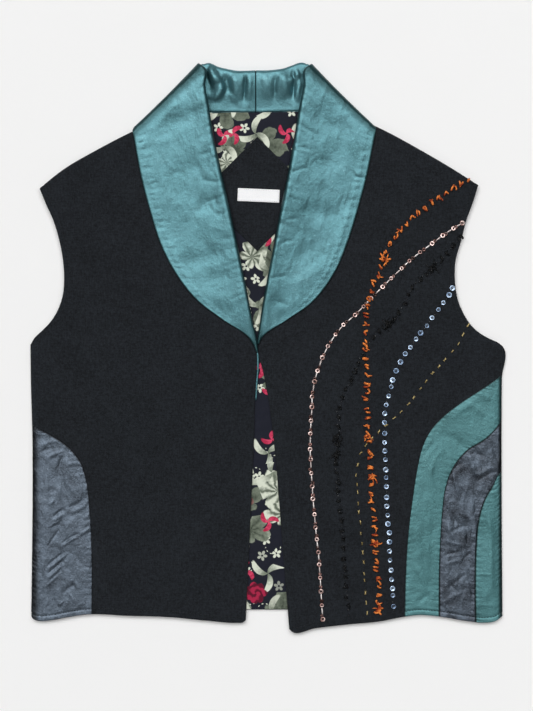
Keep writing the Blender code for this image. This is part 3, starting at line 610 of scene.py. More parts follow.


# Soft garment leather with a pearly finish: colour from deep through middle to bright by a slow cloud
# and patches, lightened by specks as painted glints and by the piece's relief as painted light on ridges
# and painted shade in troughs, the edge colour as painted shade where the rim attribute falls to 0, a
# pebble grain of cells, soft waves, and wrinkles that rise to a crest where a stretched noise passes
# 0.5: 2 - 5 |wide - 0.5| - 4 |narrow - 0.5|
def makeLeather(name, look, pearl, crinkle, roughness):
    leather = Finish(name, Specular_IOR_Level=0.5, Coat_Roughness=0.25)
    size = leatherLook
    cells = leather.node("ShaderNodeTexVoronoi", {"feature": "SMOOTH_F1"}, {
        "Vector": leather.place, "Scale": 1 / look["grain"], "Smoothness": 0.6,
        "Randomness": 1.0})
    pebble = Wire(leather, cells.outputs["Distance"])
    fine = leather.noise(size["fine"], 3.0, 0.7)
    cloud = leather.noise(look["cloud"], 1.0, 0.4)
    patchy = leather.noise(size["patch"], 3.0, 0.65)
    glintSpeckle = leather.ease(leather.noise(size["glintSpeckle"], 3.0, 0.75), 0.50, 0.70)
    # rim carries painted shade: as it falls towards 0 the colour runs to the look's edge colour
    rim = leather.attribute("rim")
    relief = leather.attribute("relief")
    # Painted glints from the specks, and painted shade from the relief: ridges lighter, troughs darker
    tone = cloud * 0.42 + patchy * 0.24 + glintSpeckle * 0.20 + relief * 0.05 + 0.05
    shade = leather.mix(leather.ease(tone, 0.06, 0.46), look["deep"], look["middle"])
    shade = leather.mix(leather.ease(tone, 0.44, 0.86), shade, look["bright"])
    shade = leather.mix(leather.ease(1 - rim, 0.1, 0.9) * size["paintedShadeShare"], shade, look["edge"])
    wide = leather.noise(size["wide"], 4.0, 0.62, 1.4, place=leather.stretched(1.0, 0.5, 0.8, 0.6))
    narrow = leather.noise(size["narrow"], 3.0, 0.6, 0.8,
                           place=leather.stretched(1.0, 0.4, 0.8, 0.9))
    ridged = 2 - leather.absolute(wide - 0.5) * 5 - leather.absolute(narrow - 0.5) * 4
    wave = leather.noise(look["wave"], 1.0, 0.4, 0.6, place=leather.stretched(1.0, 0.6, 0.8, 0.5))
    height = pebble * -0.06 + fine * 0.03 + ridged * crinkle + patchy * 0.36 + glintSpeckle * 0.05
    height = height + wave * look["waveHeight"]
    leather.bump(height, 0.9)
    rough = roughness + (1 - glintSpeckle) * 0.06 + (cloud - 0.5) * 0.10
    return leather.paint(Base_Color=shade, Roughness=rough, Metallic=pearl,
                         Coat_Weight=size["coat"])


liningLook = {"ground": (0.0085, 0.0100, 0.0175), "groundPale": (0.0130, 0.0150, 0.0260),
              "sageDark": (0.046, 0.058, 0.042), "sage": (0.190, 0.222, 0.168),
              "cream": (0.70, 0.74, 0.62), "pink": (0.72, 0.070, 0.15),
              "rose": (0.40, 0.018, 0.062), "roseDark": (0.11, 0.006, 0.022)}


# Each layer of motifs: cell size, the motif's share of it, petals, the outline's low and
# blunt, and how far the cells are shifted
liningMotifs = {
    "dots": (27.0, 0.34, 11.0, 0.0, 1.0, (4.0, 9.0, 0.0)),
    "flowers": (16.0, 0.34, 5.0, 0.22, 0.8, (-3.0, 5.0, 0.0)),
    "leaves": (41.0, 0.70, 5.0, 0.42, 0.6, (5.0, 3.0, 0.0)),
    "sprays": (33.0, 0.62, 3.0, 0.0, 1.0, (12.0, -7.0, 0.0)),
    "blooms": (62.0, 0.19, 7.0, 0.80, 1.0, (-14.0, 16.0, 0.0)),
    "curls": (27.0, 0.42, 3.0, 0.0, 2.6, (9.0, -17.0, 0.0)),
}


# Cells of a Voronoi pattern as places for one motif each: the distance and angle of a
# point from its cell's own middle, the motif's outline, low + (1 - low) |cos(petals
# angle / 2)| ^ blunt, three numbers of the cell, and that cosine's size
def motifCells(cloth, size, share, petals, low, blunt, offset):
    flat = cloth.vector("MULTIPLY", cloth.vector("ADD", cloth.place, offset), (1.0, 1.0, 0.0))
    cells = cloth.node("ShaderNodeTexVoronoi", {"voronoi_dimensions": "2D"}, {
        "Vector": flat, "Scale": 1 / size, "Randomness": 0.82})
    x, y = cloth.parts(cloth.vector("SUBTRACT", flat, cells.outputs["Position"]))[:2]
    numbers = cloth.parts(cells.outputs["Color"])
    radius = (x * x + y * y) ** 0.5 / (size * share)
    angle = cloth.math("ARCTAN2", y, x) + numbers[0] * 6.28
    lobe = cloth.absolute(cloth.math("COSINE", angle * (petals / 2)))
    reach = lobe ** blunt * (1 - low) + low
    return radius, angle, reach, numbers, lobe


# Printed lining on a dark ground: dots in rings, small cream flowers, large leaf clusters
# shaded from dark at the stalk to pale at the tips with veins, sprays of three narrow
# leaves, full blooms of folded petals, and long curved pink petals, each layer in cells of
# its own size. A motif shows where the distance is under the outline, and only in cells
# whose own number is over a bound
def makeLiningPrint():
    look = liningLook
    cloth = Finish("printedLining", Roughness=0.6, Specular_IOR_Level=0.1)
    wave = cloth.noise(8.0)
    brush = cloth.noise(2.6, 3.0, 0.6)
    colour = cloth.mix(cloth.noise(14.0), look["ground"], look["groundPale"])

    radius, angle, _, numbers, lobe = motifCells(cloth, *liningMotifs["dots"])
    band = cloth.absolute(radius - 0.86)
    dots = cloth.ease(lobe - band * 6.0, 0.60, 0.76) * cloth.ease(numbers[2], 0.50, 0.54)
    half = cloth.ease(cloth.math("SINE", angle), -0.1, 0.1)
    colour = cloth.mix(dots * half, colour, look["cream"])

    radius, angle, reach, numbers, _ = motifCells(cloth, *liningMotifs["flowers"])
    inside = cloth.ease(radius - reach, 0.08, -0.08) * cloth.ease(radius, 0.16, 0.26)
    some = cloth.ease(numbers[1], 0.74, 0.78)
    colour = cloth.mix(inside * some, colour, look["cream"])

    radius, angle, reach, numbers, _ = motifCells(cloth, *liningMotifs["leaves"])
    lean = cloth.math("COSINE", angle) * 0.30 + 0.66
    reach = reach * lean * (0.80 + wave * 0.4)
    inside = cloth.ease(radius - reach, 0.03, -0.03) * cloth.ease(numbers[2], 0.14, 0.18)
    folds = cloth.absolute(cloth.math("SINE", angle * 4.5 + radius * 2.6 + wave * 3.0))
    petal = cloth.ease(numbers[1], 0.40, 0.50)
    tone = radius / reach * 0.34 + brush * 0.5 + folds * (0.12 + petal * 0.46) + petal * 0.08
    tone = tone - 0.17
    leaf = cloth.mix(cloth.ease(tone, 0.10, 0.62), look["sageDark"], look["sage"])
    leaf = cloth.mix(cloth.ease(tone, 0.52, 0.95), leaf, look["cream"])
    colour = cloth.mix(inside, colour, leaf)

    radius, angle, _, numbers, _ = motifCells(cloth, *liningMotifs["sprays"])
    bend = cloth.absolute(cloth.math("COSINE", (angle + radius * 0.8) * 1.5)) ** 5.0
    inside = cloth.ease(radius - bend, 0.05, -0.05) * cloth.ease(numbers[2], 0.46, 0.50)
    spray = cloth.mix(cloth.ease(radius + brush * 0.6, 0.35, 1.05), look["sage"], look["cream"])
    colour = cloth.mix(inside, colour, spray)

    radius, angle, reach, numbers, _ = motifCells(cloth, *liningMotifs["blooms"])
    reach = reach + (wave - 0.5) * 0.3
    inside = cloth.ease(radius - reach, 0.04, -0.04) * cloth.ease(numbers[0], 0.42, 0.46)
    curls = cloth.math("SINE", radius * 9.0 + angle * 2.0 + wave * 9.0)
    bloom = cloth.mix(cloth.ease(curls + brush * 1.2 - 0.6, -0.7, 0.7), look["roseDark"],
                      look["rose"])
    colour = cloth.mix(inside, colour, bloom)

    radius, angle, _, numbers, _ = motifCells(cloth, *liningMotifs["curls"])
    bend = cloth.absolute(cloth.math("COSINE", (angle + radius * 1.1) * 1.5))
    inside = cloth.ease(radius - bend ** 2.2, 0.06, -0.06) * cloth.ease(numbers[1], 0.64, 0.68)
    pink = cloth.mix(cloth.ease(brush + radius * 0.4, 0.45, 0.95), look["pink"], look["rose"])
    colour = cloth.mix(inside, colour, pink)

    cloth.bump(cloth.noise(0.5, 2.0, 0.6) * 0.06 + cloth.noise(10.0) * 1.2, 0.6)
    return cloth.paint(Base_Color=colour)


labelLook = {"shade": (0.93, 0.94, 0.96), "plain": (1.0, 1.0, 1.0), "ribPitch": 0.7, "dust": 1.2}


# Woven ribbon: fine cross ribs, a little shade between them
def makeLabelCloth():
    label = Finish("whiteLabel", Roughness=0.5, Sheen_Weight=0.2, Specular_IOR_Level=0.4)
    look = labelLook
    ribs = label.math("SINE", label.parts(label.place)[1] * (2 * math.pi / look["ribPitch"]))
    dust = label.noise(look["dust"], 2.0, 0.6)
    colour = label.mix(label.ease(dust + ribs * 0.15, 0.25, 0.75), look["shade"], look["plain"])
    label.bump(ribs * 0.05 + dust * 0.05, 0.6)
    return label.paint(Base_Color=colour)


strandPitch = 0.55


# Twisted yarn or thread: colour between two tones, fine slanting strands
def makeThread(name, dark, bright, size=2.5, roughness=0.8, metal=0.0):
    thread = Finish(name, Roughness=roughness, Metallic=metal, Specular_IOR_Level=0.3)
    tone = thread.ease(thread.noise(size), 0.35, 0.62)
    x, y, z = thread.parts(thread.place)
    twist = thread.math("SINE", (x + y * 0.8 + z) * (2 * math.pi / strandPitch))
    thread.bump(twist * 0.08 + thread.noise(0.4) * 0.08, 0.8)
    return thread.paint(Base_Color=thread.mix(tone, dark, bright))


# Metallised sequin, glass or metal bead: two tones in patches, a fine worn surface
def makeBeadFinish(name, dark, bright, metal, roughness, size=6.0):
    bead = Finish(name, Metallic=metal, Specular_IOR_Level=0.6, Coat_Weight=0.3,
                  Coat_Roughness=0.1)
    tone = bead.ease(bead.noise(size, 1.0, 0.5), 0.4, 0.6)
    worn = bead.noise(0.8, 2.0, 0.6)
    bead.bump(worn * 0.05, 0.5)
    return bead.paint(Base_Color=bead.mix(tone, dark, bright), Roughness=roughness + worn * 0.12)


finishes = {
    "cloth": makeBlackCloth(),
    "teal": makeLeather("tealLeather", tealLook, 0.70, 0.08, 0.33),
    "deepTeal": makeLeather("deepTealLeather", deepTealLook, 0.68, 0.05, 0.33),
    "charcoal": makeLeather("charcoalLeather", charcoalLook, 0.78, 0.12, 0.25),
    "lining": makeLiningPrint(),
    "label": makeLabelCloth(),
}
# Dark and bright tone, and where they differ from the usual the size of the patches, the
# roughness and the metal share
threads = {
    "blackThread": ((0.006, 0.007, 0.009), (0.022, 0.024, 0.028)),
    "darkThread": ((0.004, 0.010, 0.011), (0.012, 0.024, 0.025)),
    "whiteThread": ((0.55, 0.56, 0.57), (0.8, 0.8, 0.8)),
    "orangeYarn": ((0.30, 0.034, 0.010), (1.0, 0.300, 0.062), 5.2),
    "goldThread": ((0.34, 0.25, 0.09), (0.86, 0.68, 0.30), 5.0, 0.45, 0.3),
    "blackYarn": ((0.0006, 0.0007, 0.0009), (0.004, 0.005, 0.006), 2.0, 0.45),
}
# Dark and bright tone, metal share, roughness, and the size of the patches
beads = {
    "roseGold": ((0.30, 0.17, 0.15), (0.98, 0.76, 0.71), 0.8, 0.22),
    "brownBead": ((0.06, 0.028, 0.022), (0.26, 0.13, 0.11), 0.5, 0.2),
    "paleBugle": ((0.62, 0.52, 0.50), (0.97, 0.90, 0.88), 0.3, 0.2),
    "paleBlue": ((0.12, 0.18, 0.28), (0.50, 0.64, 0.84), 0.75, 0.2, 9.0),
    "blackBead": ((0.004, 0.004, 0.005), (0.03, 0.032, 0.036), 0.0, 0.12),
}
finishes.update({name: makeThread(name, *look) for name, look in threads.items()})
finishes.update({name: makeBeadFinish(name, *look) for name, look in beads.items()})
print("Materials made:", len(finishes))


frontPieces = {"step": 3.0, "stitchFromHem": 6.2, "stitchFromArmhole": 5.4,
               "grooveDepth": 0.35, "grooveWidth": 0.9, "creasedFromSide": (3.0, 14.0),
               "creasedFromCrest": (4.0, 16.0), "armholeY": (4.0, 12.0)}
# startX, startY, endX, endY in photograph pixels; bow, half width and height in millimetres
rightClothCreases = (
    (70, 372, 168, 338, 6, 11, 0.55), (96, 236, 176, 318, -8, 13, 0.5), (70, 300, 128, 288, 4, 9, 0.45),
    (228, 380, 150, 470, 9, 15, 0.6), (120, 480, 196, 600, -9, 17, 0.55),
    (216, 470, 232, 590, 4, 10, 0.5), (58, 205, 96, 262, 4, 9, 0.45), (44, 396, 120, 412, -5, 10, 0.4),
)
leftClothCreases = (
    (472, 356, 396, 330, 5, 11, 0.55), (438, 252, 372, 316, 7, 13, 0.5),
    (300, 380, 352, 470, -8, 14, 0.6), (402, 470, 330, 604, 8, 16, 0.55),
    (286, 470, 300, 590, -4, 10, 0.45), (462, 210, 432, 262, -4, 9, 0.45),
    (478, 372, 420, 400, 4, 9, 0.4), (262, 372, 300, 420, 3, 8, 0.4),
)
clothCreases = {"right": rightClothCreases, "left": leftClothCreases}


# A shallow groove along a line of stitches: -depth exp(-((distance - place) / width)^2)
def stitchGroove(distance, place):
    piece = frontPieces
    return -piece["grooveDepth"] * np.exp(-((distance - place) / piece["grooveWidth"])**2)


# Height of the cloth front's upper side over the table, at points in plan
def frontTop(places, side):
    return (layers["front"] + liftAt(places[..., 1]) + layers["cloth"] / 2
            + creaseHeight(places, clothCreases[side]))


# A cloth front, from its hem to its turn over the shoulder
def makeFront(name, node, table, hem, shoulder, side):
    way = shoulderWay(shoulder)
    tangent = movedLine(smoothLine(shoulder), way, turnLength)
    outer = np.vstack([edgeOf(table, "outer"), tangent[0]])
    inner = np.vstack([edgeOf(table, "inner"), tangent[-1]])
    flat, crestLength, edges = panelGrid(outer, inner, smoothLine(hem), tangent,
                                         frontPieces["step"], layers["cloth"] / 2,
                                         table["corners"], way)
    middle, normal = layOver(flat, layers["front"], 1, sideTurn["front"], crestLength,
                             np.broadcast_to(way, flat.shape))
    settled = (easeStep(edges["outer"], *frontPieces["creasedFromSide"])
               * easeStep(edges["crest"], *frontPieces["creasedFromCrest"]))
    middle[..., 2] += creaseHeight(middle, clothCreases[side]) * settled
    groove = stitchGroove(edges["hem"], frontPieces["stitchFromHem"])
    armhole = easeStep(flat[..., 1], *frontPieces["armholeY"])
    groove = groove + stitchGroove(edges["outer"], frontPieces["stitchFromArmhole"]) * armhole
    piece = shellPiece(name, middle, normal, layers["cloth"], nearestEdge(edges),
                       finishes["cloth"], "black_cloth", groove)
    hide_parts(node)
    return piece, flat


rightPiece, rightFlat = makeFront("frontRight", "front_right", rightFront, rightHem,
                                  rightShoulder, "right")
leftPiece, leftFlat = makeFront("frontLeft", "front_left", leftFront, leftHem, leftShoulder,
                                "left")
print("Cloth fronts made")


backPieces = {"step": 4.0, "liningInside": turnLength + 0.8, "dent": 0.55,
              "dentedFromEdge": (6.0, 20.0), "shoulderSlack": 0.5, "liningHem": 0.5}
backCreases = (
    (80, 420, 240, 380, 12, 14, 0.55), (450, 400, 300, 360, -10, 15, 0.5),
    (120, 560, 220, 470, 10, 16, 0.5), (420, 560, 330, 450, -12, 14, 0.55),
    (230, 600, 250, 480, 5, 12, 0.45), (90, 300, 200, 330, 6, 12, 0.5),
    (440, 280, 350, 330, 6, 13, 0.5), (180, 180, 240, 260, -8, 11, 0.45),
    (340, 180, 290, 270, 8, 12, 0.5),
)
liningCreases = (
    (266, 560, 274, 612, 2, 3, 0.28), (259, 470, 264, 540, 2, 2.6, 0.22),
    (232, 150, 252, 236, -4, 5, 0.22), (276, 236, 268, 300, 2, 4, 0.3),
    (286, 150, 270, 190, 4, 5, 0.22), (248, 240, 258, 300, -2, 3.4, 0.26),
)


upWay = np.array([0.0, 1.0])
rightWay, leftWay = shoulderWay(rightShoulder), shoulderWay(leftShoulder)


# The line at which the back ends: both shoulders and the neck, moved back by a distance
def backCrest(atShoulders, atNeck):
    return (*movedLine(rightShoulder, rightWay, atShoulders),
            *movedLine(backNeck[1:-1], upWay, atNeck),
            *movedLine(leftShoulder[::-1], leftWay, atShoulders))


# The back, from its hem to its crest. Each column of the crest row turns up along the right
# shoulder's way, not at all at the neck, or along the left shoulder's way
def makeBack():
    crest = backCrest(turnLength, turnLength)
    outer = np.vstack([edgeOf(backPanel, "outer"), crest[0]])
    inner = np.vstack([edgeOf(backPanel, "inner"), crest[-1]])
    flat, crestLength, edges = panelGrid(outer, inner, smoothLine(backHem), crest,
                                         backPieces["step"], layers["cloth"] / 2,
                                         backPanel["corners"], upWay)
    base, slack = flat[-len(turnShares), :, 0], backPieces["shoulderSlack"]
    share = np.stack([base < backNeck[0][0] + slack, base > backNeck[-1][0] - slack])
    way = np.where(share[0][:, None], rightWay, np.where(share[1][:, None], leftWay, upWay))
    flat = flat + crestLength[..., None] * (way - upWay)
    middle, normal = layOver(flat, layers["back"], -1, sideTurn["back"],
                             crestLength * share.any(axis=0), np.broadcast_to(way, flat.shape))
    away = easeStep(nearestEdge(edges), *backPieces["dentedFromEdge"])
    dent = -np.clip(creaseHeight(middle, backCreases) * away, 0.0, backPieces["dent"])
    hem = stitchGroove(edges["hem"], frontPieces["stitchFromHem"])
    piece = shellPiece("backCloth", middle, normal, layers["cloth"], nearestEdge(edges),
                       finishes["cloth"], "black_cloth", 0.0, dent + hem)
    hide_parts("back_cloth")
    return piece, flat


# The lining lies flat on the back, just inside its edges
def makeLining():
    inside = backPieces["liningInside"]
    crest = backCrest(inside, layers["seamGap"])
    outer = edgeOf(backPanel, "outer") + (inside, 0.0)
    inner = edgeOf(backPanel, "inner") - (inside, 0.0)
    hem = [(x, y + backPieces["liningHem"]) for x, y in smoothLine(backHem)]
    flat, _, edges = panelGrid(np.vstack([outer, crest[0]]), np.vstack([inner, crest[-1]]),
                               hem, crest, backPieces["step"], layers["lining"] / 2,
                               backPanel["corners"])
    middle = np.dstack([flat, layers["lined"] + liftAt(flat[..., 1])])
    middle[..., 2] += creaseHeight(middle, liningCreases)
    normal = np.broadcast_to((0.0, 0.0, 1.0), middle.shape)
    piece = shellPiece("backLining", middle, normal, layers["lining"], nearestEdge(edges),
                       finishes["lining"], "printed_lining")
    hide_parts("back_lining")
    return piece, flat


backPiece, backFlat = makeBack()
liningPiece, liningFlat = makeLining()
print("Back and lining made")


leatherSlots = {"charcoal": "charcoal_leather", "deepTeal": "deep_teal_leather"}
# The gap is less than 0, so that each piece laps over its neighbour's edge a little
sidePanels = {
    "step": 1.1, "tipDrop": 2.4, "hemStitch": 5.6, "edgeShadeWidth": 2.6, "gap": -0.35,
    "shadeStart": 1.5, "shadeRight": 15.0, "shadeLeft": 8.0, "shadeLeast": 0.05,
    "creaseDepth": 0.42, "creasedFromEdge": (0.2, 2.6), "bandShade": 2.0,
    "stripHeight": 0.30, "stripStart": 3.6, "outermost": 248.8,
    "puckerInner": {"gap": 5.2, "width": 1.2, "reach": 4.4, "depth": 0.62},
    "puckerOuter": {"gap": 5.6, "width": 1.2, "reach": 4.0, "depth": 0.55},
    "lastStep": 1.3 * turnLength, "sideEasing": 0.75,
}
# The same columns as the cloth's creases
charcoalRightCreases = (
    (53, 518, 66, 508, 1, 1.5, -1.7), (66, 508, 87, 496, -2, 1.8, -1.2),
    (50, 523, 68, 513, 1, 2.2, 1.3), (68, 513, 88, 502, -2, 2.2, 1.2), (49, 527, 60, 521, 0.5, 1.3, 1),
    (47, 548, 63, 526, 1, 1.2, -1.1), (60, 548, 79, 536, 1, 1.6, 1.2),
    (79, 536, 91, 528, 0.5, 1.8, 1.5), (62, 544, 80, 533, 1, 1.4, -1.3),
    (46, 567, 68, 549, 0.5, 1.1, -1.1), (46, 571, 69, 553, 0.5, 1.2, 1.1),
    (47, 575, 68, 557, 0.5, 1.1, -1.2), (47, 580, 66, 562, 0.5, 1.2, 1.1),
    (48, 584, 62, 569, 0.5, 1.1, -1.1), (45, 588, 58, 575, 0.5, 1.2, 0.9),
    (40, 446, 62, 442, 2, 1.8, 0.9), (38, 454, 58, 448, 2, 1.6, -0.9), (44, 460, 66, 450, 1, 1.8, 1.1),
    (58, 470, 64, 454, 1, 1.8, -1.2), (62, 492, 60, 462, 2, 2.6, -0.9),
    (56, 500, 60, 470, -2, 2.4, 0.9), (66, 466, 80, 462, 1, 1.8, 0.8), (48, 506, 56, 498, 0, 1.5, 0.9),
    (70, 490, 64, 470, 1, 2, 0.9), (80, 478, 84, 500, 1, 2.4, 0.8), (58, 606, 64, 601, 0, 1.2, 1.2),
    (60, 596, 78, 582, 1, 2.2, -0.8), (72, 560, 88, 604, 3, 5, 0.8), (46, 436, 45, 610, 0, 6, 0.5),
    (58, 540, 56, 604, 1, 5, -0.6), (84, 520, 90, 512, 0, 1.6, 1), (66, 590, 76, 606, 1, 1.8, 0.8),
)
bandCreases = (
    (424, 440, 432, 500, 2, 3.6, 0.9), (418, 520, 424, 590, -2, 3.6, 0.8),
    (450, 420, 486, 396, 3, 3.6, 0.9), (430, 476, 444, 446, 2, 2.4, 0.7),
    (410, 560, 430, 600, 2, 3, 0.8), (490, 500, 491, 612, 0.5, 3.4, 1.5),
    (486, 490, 492, 540, -1.5, 2.6, 0.8), (484, 480, 496, 500, 1, 1.8, 0.6),
    (440, 432, 470, 452, 2, 4.2, -0.9), (466, 404, 492, 420, 2, 3.8, 0.9),
    (478, 574, 492, 575, 0, 1.1, 0.7), (416, 604, 434, 592, 1, 2.6, -0.8),
    (434, 500, 428, 604, 1, 3.4, -0.7), (438, 440, 444, 456, 1, 1.6, 0.6),
    (476, 392, 494, 402, 1, 3, 0.8), (472, 604, 500, 606, 0, 2, 0.5), (422, 460, 438, 440, 2, 2.6, -0.7),
)
charcoalLeftCreases = (
    (466, 452, 474, 478, 3, 2.6, 1.6), (450, 472, 466, 462, 2, 2, -1.4),
    (472, 474, 492, 466, -3, 3, 1.6), (474, 484, 500, 470, 2, 2, -1.2),
    (470, 452, 486, 458, 1, 2.6, -1.4), (446, 506, 466, 530, -2, 2.4, -1.4),
    (442, 520, 462, 560, 3, 2.8, 1.4), (464, 510, 468, 566, 2, 2.6, -1.5),
    (472, 490, 474, 540, -1, 2.4, 1.3), (444, 556, 462, 552, 1, 1.5, -1.1),
    (443, 566, 464, 560, 1, 1.6, 1.1), (462, 560, 474, 552, 1, 1.6, -1.2),
    (446, 590, 470, 572, 1, 2, -1.1), (442, 604, 468, 590, 1, 2, 1.1), (454, 600, 459, 566, 1, 2.2, 1),
    (466, 566, 474, 604, 1, 2, -1), (475, 512, 477, 608, 0.5, 1.7, 1.2),
    (490, 440, 499, 466, 1, 2.4, -1.4), (474, 440, 498, 432, 1, 2, 1), (448, 534, 470, 524, 1, 1.8, -1),
    (458, 484, 470, 496, 1, 1.8, 1), (444, 540, 468, 546, -1, 1.7, 0.9),
    (452, 470, 458, 500, 1, 2.4, 1), (443, 580, 462, 596, 1, 1.8, -0.9),
    (449, 500, 446, 610, 1, 2.2, 0.8),
)


# Puckers along a seam: trenches across it at uneven steps, each exp(-(along / width)^2)
# times exp(-distance / reach)
def puckers(along, distance, gap, width, reach, depth):
    total = np.zeros(along.shape)
    place = along.min() + gap * rng.uniform(0.3, 0.9)
    while place < along.max():
        strength = depth * rng.uniform(0.35, 1.0)
        total -= strength * np.exp(-((along - place) / (width * rng.uniform(0.7, 1.4)))**2)
        place += gap * rng.uniform(0.55, 1.5)
    return total * np.exp(-distance / reach)


# Points of a line moved square to it: plus the offset times the mean way of its two
# neighbouring chords, turned a quarter to the left
def movedAside(points, offset):
    way = unit(np.diff(points, axis=0, append=[2 * points[-1] - points[-2]]))
    way = unit(way + np.vstack([way[:1], way[:-1]]))
    return points + offset * np.stack([-way[:, 1], way[:, 0]], axis=1)


# A seam line in a given number of points, closer together where it turns at the side
def seamPlaces(points, count):
    length = denseLine(points)[1][-1]
    places = [*np.linspace(0.0, length - sidePanels["lastStep"], count - 1), length]
    return lineAt(points, places)[0]


# As many points up the side's edge as the seam has, from its lowest to a top: the share of
# the way to a power under 1, so that they are closer together towards the top
def sideLine(y, side, top):
    own = y[0] + (top - y[0]) * np.linspace(0.0, 1.0, len(y)) ** sidePanels["sideEasing"]
    return np.stack([side * sideEdge(np.full(len(y), float(side)), own), own], axis=1)


# A leather side piece: creases lift the whole wall, puckers at both seams, a raised strip
# under the hem's stitches and their groove lift its top. The rim attribute carries painted shade: it
# falls to 0 at the seams and over a wider reach towards the side where the wall turns down. The relief
# attribute darkens troughs and puckers as painted shade, and is lowered by a given extra painted shade
def makeSidePiece(name, node, outer, inner, hem, leather, creases, paintedDarkening=0.0):
    side = sidePanels
    flat, _, edges = panelGrid(outer, inner, smoothLine(hem), None, side["step"],
                               layers["leather"] / 2)
    middle, normal = layOver(flat, layers["front"], 1, sideTurn["front"])
    border = nearestEdge(edges)
    relief = creaseHeight(middle, creases) * easeStep(border, *side["creasedFromEdge"])
    relief = relief * side["creaseDepth"]
    pucker = puckers(edges["hem"], edges["inner"], **side["puckerInner"])
    pucker = pucker + puckers(edges["hem"], edges["outer"], **side["puckerOuter"])
    strip = side["stripHeight"] * (1 - easeStep(edges["hem"], side["stripStart"],
                                                side["hemStitch"]))
    groove = stitchGroove(edges["hem"], side["hemStitch"])
    middle = middle + normal * relief[..., None]
    # Painted shade: dark at the seams, and dark over a wider reach towards the side where the wall turns
    # away
    rim = easeStep(np.minimum(edges["inner"], edges["outer"]), 0.0, side["edgeShadeWidth"])
    fromSide = side["outermost"] - np.abs(flat[..., 0])
    reach = np.where(flat[..., 0] < 0, side["shadeRight"], side["shadeLeft"])
    least = side["shadeLeast"]
    rim = rim * (least + (1 - least) * easeStep(fromSide, side["shadeStart"], reach))
    piece = shellPiece(name, middle, normal, layers["leather"], border, finishes[leather],
                       leatherSlots[leather], pucker + strip + groove,
                       values={"rim": rim, "relief": relief + pucker - paintedDarkening})
    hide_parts(node)
    return piece, flat


# The right panel and the three left bands: each between the lines of its outer and inner
# edge, where a tip on the side's own line drops a little
def makeSidePieces():
    gap, outer = sidePanels["gap"], outerBandSeam
    middle, inner = (seamPlaces(seam, len(outer)) for seam in (middleBandSeam, innerBandSeam))
    lowered = np.zeros_like(outer)
    lowered[-1, 1] = -sidePanels["tipDrop"]
    panel = movedAside(patchSeam, gap) + lowered[-len(patchSeam):]
    last = movedAside(inner, -gap / 2) + lowered
    panelSide, lastSide = (sideLine(seam[:, 1], side, seam[-1, 1] - gap)
                           for seam, side in ((panel, -1), (last, 1)))
    rows = (
        ("sidePanelRight", "side_panel_right_front", panelSide, panel, rightHem, "charcoal",
         charcoalRightCreases),
        ("sideBandOuter", "side_band_left_outer", movedAside(outer, -gap),
         movedAside(middle, gap / 2), leftHem, "deepTeal", bandCreases),
        # The middle band's colour is darkened further by bandShade, as painted shade
        ("sideBandMiddle", "side_band_left_middle", movedAside(middle, -gap / 2),
         movedAside(inner, gap / 2), leftHem, "charcoal", charcoalLeftCreases,
         sidePanels["bandShade"]),
        ("sideBandInner", "side_band_left_inner", lastSide, last, leftHem, "deepTeal",
         bandCreases),
    )
    return [makeSidePiece(*row) for row in rows]


sidePieces = makeSidePieces()
print("Leather side panels made")


# Front part of each collar half, one row for a section, from the break to the shoulder
rightLapel = {
    "seamX": (-10.2, -13, -15, -20.6, -27, -35.6, -46, -57, -66.8, -76.2, -81.4, -81.6),
    "seamY": (-4.6, 2.2, 9, 21, 40, 62, 88, 117, 150, 190, 224, 236),
    "rollX": (-8.8, -9.8, -11.4, -14.2, -18.4, -24.4, -31.2, -38.4, -46.5, -54.8, -61.2, -64.4),
    "rollY": (-6, 3.4, 13, 24.5, 47, 77.5, 110, 144, 180, 219, 256, 275),
    "edgeX": (-10.4, -13, -18.6, -47, -74, -98.5, -113, -122.4, -131, -137.4, -139.9, -140.2),
    "edgeY": (-5.4, 2.4, 10, 29.4, 50, 82, 112, 142, 174.5, 207, 221.5, 222.7),
    "returnZ": (5.9, 5.9, 5.9, 5.9, 5.9, 6.1, 6.5, 7, 7.8, 8.8, 10.2, 10.8),
    "fallZ": (8, 8.3, 8.8, 9.8, 11, 12, 13, 14, 14.8, 15.6, 16.2, 16.1),
}
leftLapel = {
    "seamX": (-8.8, -6.2, -1.2, 5.8, 13.2, 21.6, 32, 42.6, 52.4, 57, 57.2),
    "seamY": (2.8, 9, 23, 40, 61, 84, 111, 140, 186, 224, 237),
    "rollX": (-9.9, -9.2, -7.5, -4.2, 1.4, 7.7, 14.2, 21.6, 28.4, 35.2, 38.6),
    "rollY": (2.4, 12, 24.5, 47, 77.5, 110, 144, 180, 219, 258, 275),
    "edgeX": (-8.9, -4.8, 21.3, 48, 73.5, 85.6, 95, 103.8, 110.8, 113.6, 113.9),
    "edgeY": (3.8, 10.8, 28.6, 47.5, 82.5, 112, 142, 174.5, 208, 222.4, 223.8),
    "returnZ": (5.9, 5.9, 5.9, 5.9, 6.1, 6.5, 7, 7.8, 8.8, 10.2, 10.8),
    "fallZ": (8.2, 8.8, 9.8, 11, 12, 13, 14, 14.8, 15.6, 16.2, 16.1),
}
# The fold over the shoulder: plan points of its axes
shoulderFold = {
    "right": {"seam": (-80.6, 246.4), "roll": (-67.2, 291.3), "edge": (-140.4, 223.7)},
    "left": {"seam": (55.6, 249.2), "roll": (42.6, 290.6), "edge": (114.1, 225.0)},
}
# The fall's edge moves this far along the fold while it goes round it
edgeAdvance = 7.9
# Rounded corners of the collar's plan: the corner, a point on either side, and a radius
collarCorners = {
    "right": (((-66.6, 300.2), (-134.7, 235.4), (-40.0, 294.0), 12.0),
              ((-141.2, 229.4), (-67.0, 298.6), (-139.6, 219.0), 7.0)),
    "left": (((42.4, 300.6), (111.6, 237.6), (14.0, 294.4), 12.0),
             ((115.4, 233.0), (45.0, 295.4), (113.0, 219.0), 7.0)),
}
